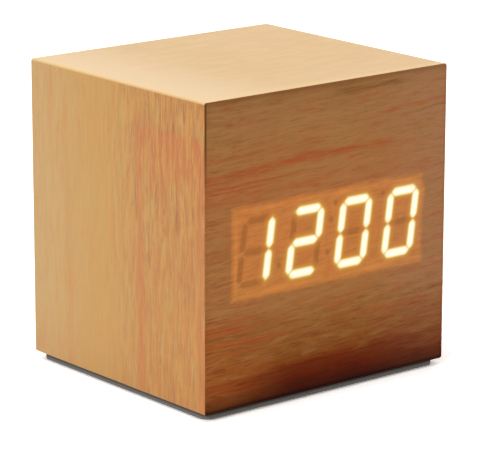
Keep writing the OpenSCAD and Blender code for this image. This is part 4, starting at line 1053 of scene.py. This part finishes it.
cut_ends(softened("sleeve_veneer", "case", "wrapped_veneer", 0.10))
softened("control_bezel", "case", "rear_bezel", 0.12)
softened("battery_door", "door", "door_under", 0.10)
softened("base_pad", "case", "foam_foot", 0.30)
softened("battery_tray", "case", "battery_cradle", 0.15)
softened("power_jack", "case", "jack_body", 0.12)
for key in ("set", "up", "down"):
    softened(key + "_button", key + "_key", key + "_cap", 0.20)
seamless_front()
contact_coils()
battery_wires()
ribbon_wires()


# The studio. The floor lies a little above the foot's underside.
FLOOR_HALF = 3.0
FLOOR_LEVEL = 0.04 * MM
HOLE_EDGE = 1.5 * MM
PAPER = (0.55, 0.55, 0.55)
PAPER_SEEN = (1.48, 1.48, 1.48)
SKY = (0.30, 0.30, 0.30)
SKY_SEEN = (1, 1, 1)
LAMP_AIM = Vector((0, 0, 0.03))


def seen(w):
    """1 where the camera sees it, also in gloss or through glass; 0 where it only lights others."""
    ray = w.add("ShaderNodeLightPath").outputs
    return w.larger(ray["Is Camera Ray"], w.larger(ray["Is Glossy Ray"], ray["Is Transmission Ray"]))


def add_floor():
    """White paper, seen from above only, with a hole under the foot that lets light in below."""
    low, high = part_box("base_pad")
    left, near = low[0] + HOLE_EDGE, low[1] + HOLE_EDGE
    right, far = high[0] - HOLE_EDGE, high[1] - HOLE_EDGE
    wide = FLOOR_HALF
    around = [(-wide, -wide), (wide, -wide), (wide, wide), (-wide, wide)]
    hole = [(left, near), (right, near), (right, far), (left, far)]
    corners = [(x, y, FLOOR_LEVEL) for x, y in around + hole]
    mesh = bpy.data.meshes.new("floor")
    mesh.from_pydata(corners, [], [(k, (k + 1) % 4, (k + 1) % 4 + 4, k + 4) for k in range(4)])
    floor = put("floor", mesh)
    material = bpy.data.materials.new("floor_paper")
    material.use_nodes = True
    material.node_tree.nodes.clear()
    w = Wiring(material.node_tree)
    paper = w.add("ShaderNodeBsdfDiffuse")
    w.feed(paper.inputs["Color"], w.blend(seen(w), PAPER, PAPER_SEEN))
    clear = w.add("ShaderNodeBsdfTransparent")
    mix = w.add("ShaderNodeMixShader")
    w.feed(mix.inputs[0], w.add("ShaderNodeNewGeometry").outputs["Backfacing"])
    w.feed(mix.inputs[1], paper.outputs[0])
    w.feed(mix.inputs[2], clear.outputs[0])
    w.feed(w.add("ShaderNodeOutputMaterial").inputs["Surface"], mix.outputs[0])
    mesh.materials.append(material)


def add_sky():
    world = bpy.data.worlds.new("studio")
    bpy.context.scene.world = world
    world.use_nodes = True
    world.node_tree.nodes.clear()
    w = Wiring(world.node_tree)
    sky = w.add("ShaderNodeBackground")
    w.feed(sky.inputs["Color"], w.blend(seen(w), SKY, SKY_SEEN))
    w.feed(w.add("ShaderNodeOutputWorld").inputs["Surface"], sky.outputs[0])


def add_lamp(name, place, size, power):
    data = bpy.data.lights.new(name, "AREA")
    data.shape, data.size, data.energy = "DISK", size, power
    lamp = put(name, data)
    lamp.location = place
    lamp.rotation_mode = "QUATERNION"
    lamp.rotation_quaternion = (LAMP_AIM - Vector(place)).to_track_quat("-Z", "Y")
    lamp.visible_glossy = False


add_floor()
add_sky()
add_lamp("key", place=(-1.15, -0.30, 0.80), size=0.8, power=10.4)
add_lamp("front_fill", place=(0.2, -1.3, 0.7), size=0.9, power=4.9)
add_lamp("rear_fill", place=(0.9, 1.1, 0.7), size=0.9, power=7.5)
add_lamp("overhead", place=(-0.2, 0.2, 1.4), size=0.9, power=10.4)
set_camera()
bpy.context.scene.view_settings.view_transform = "Standard"
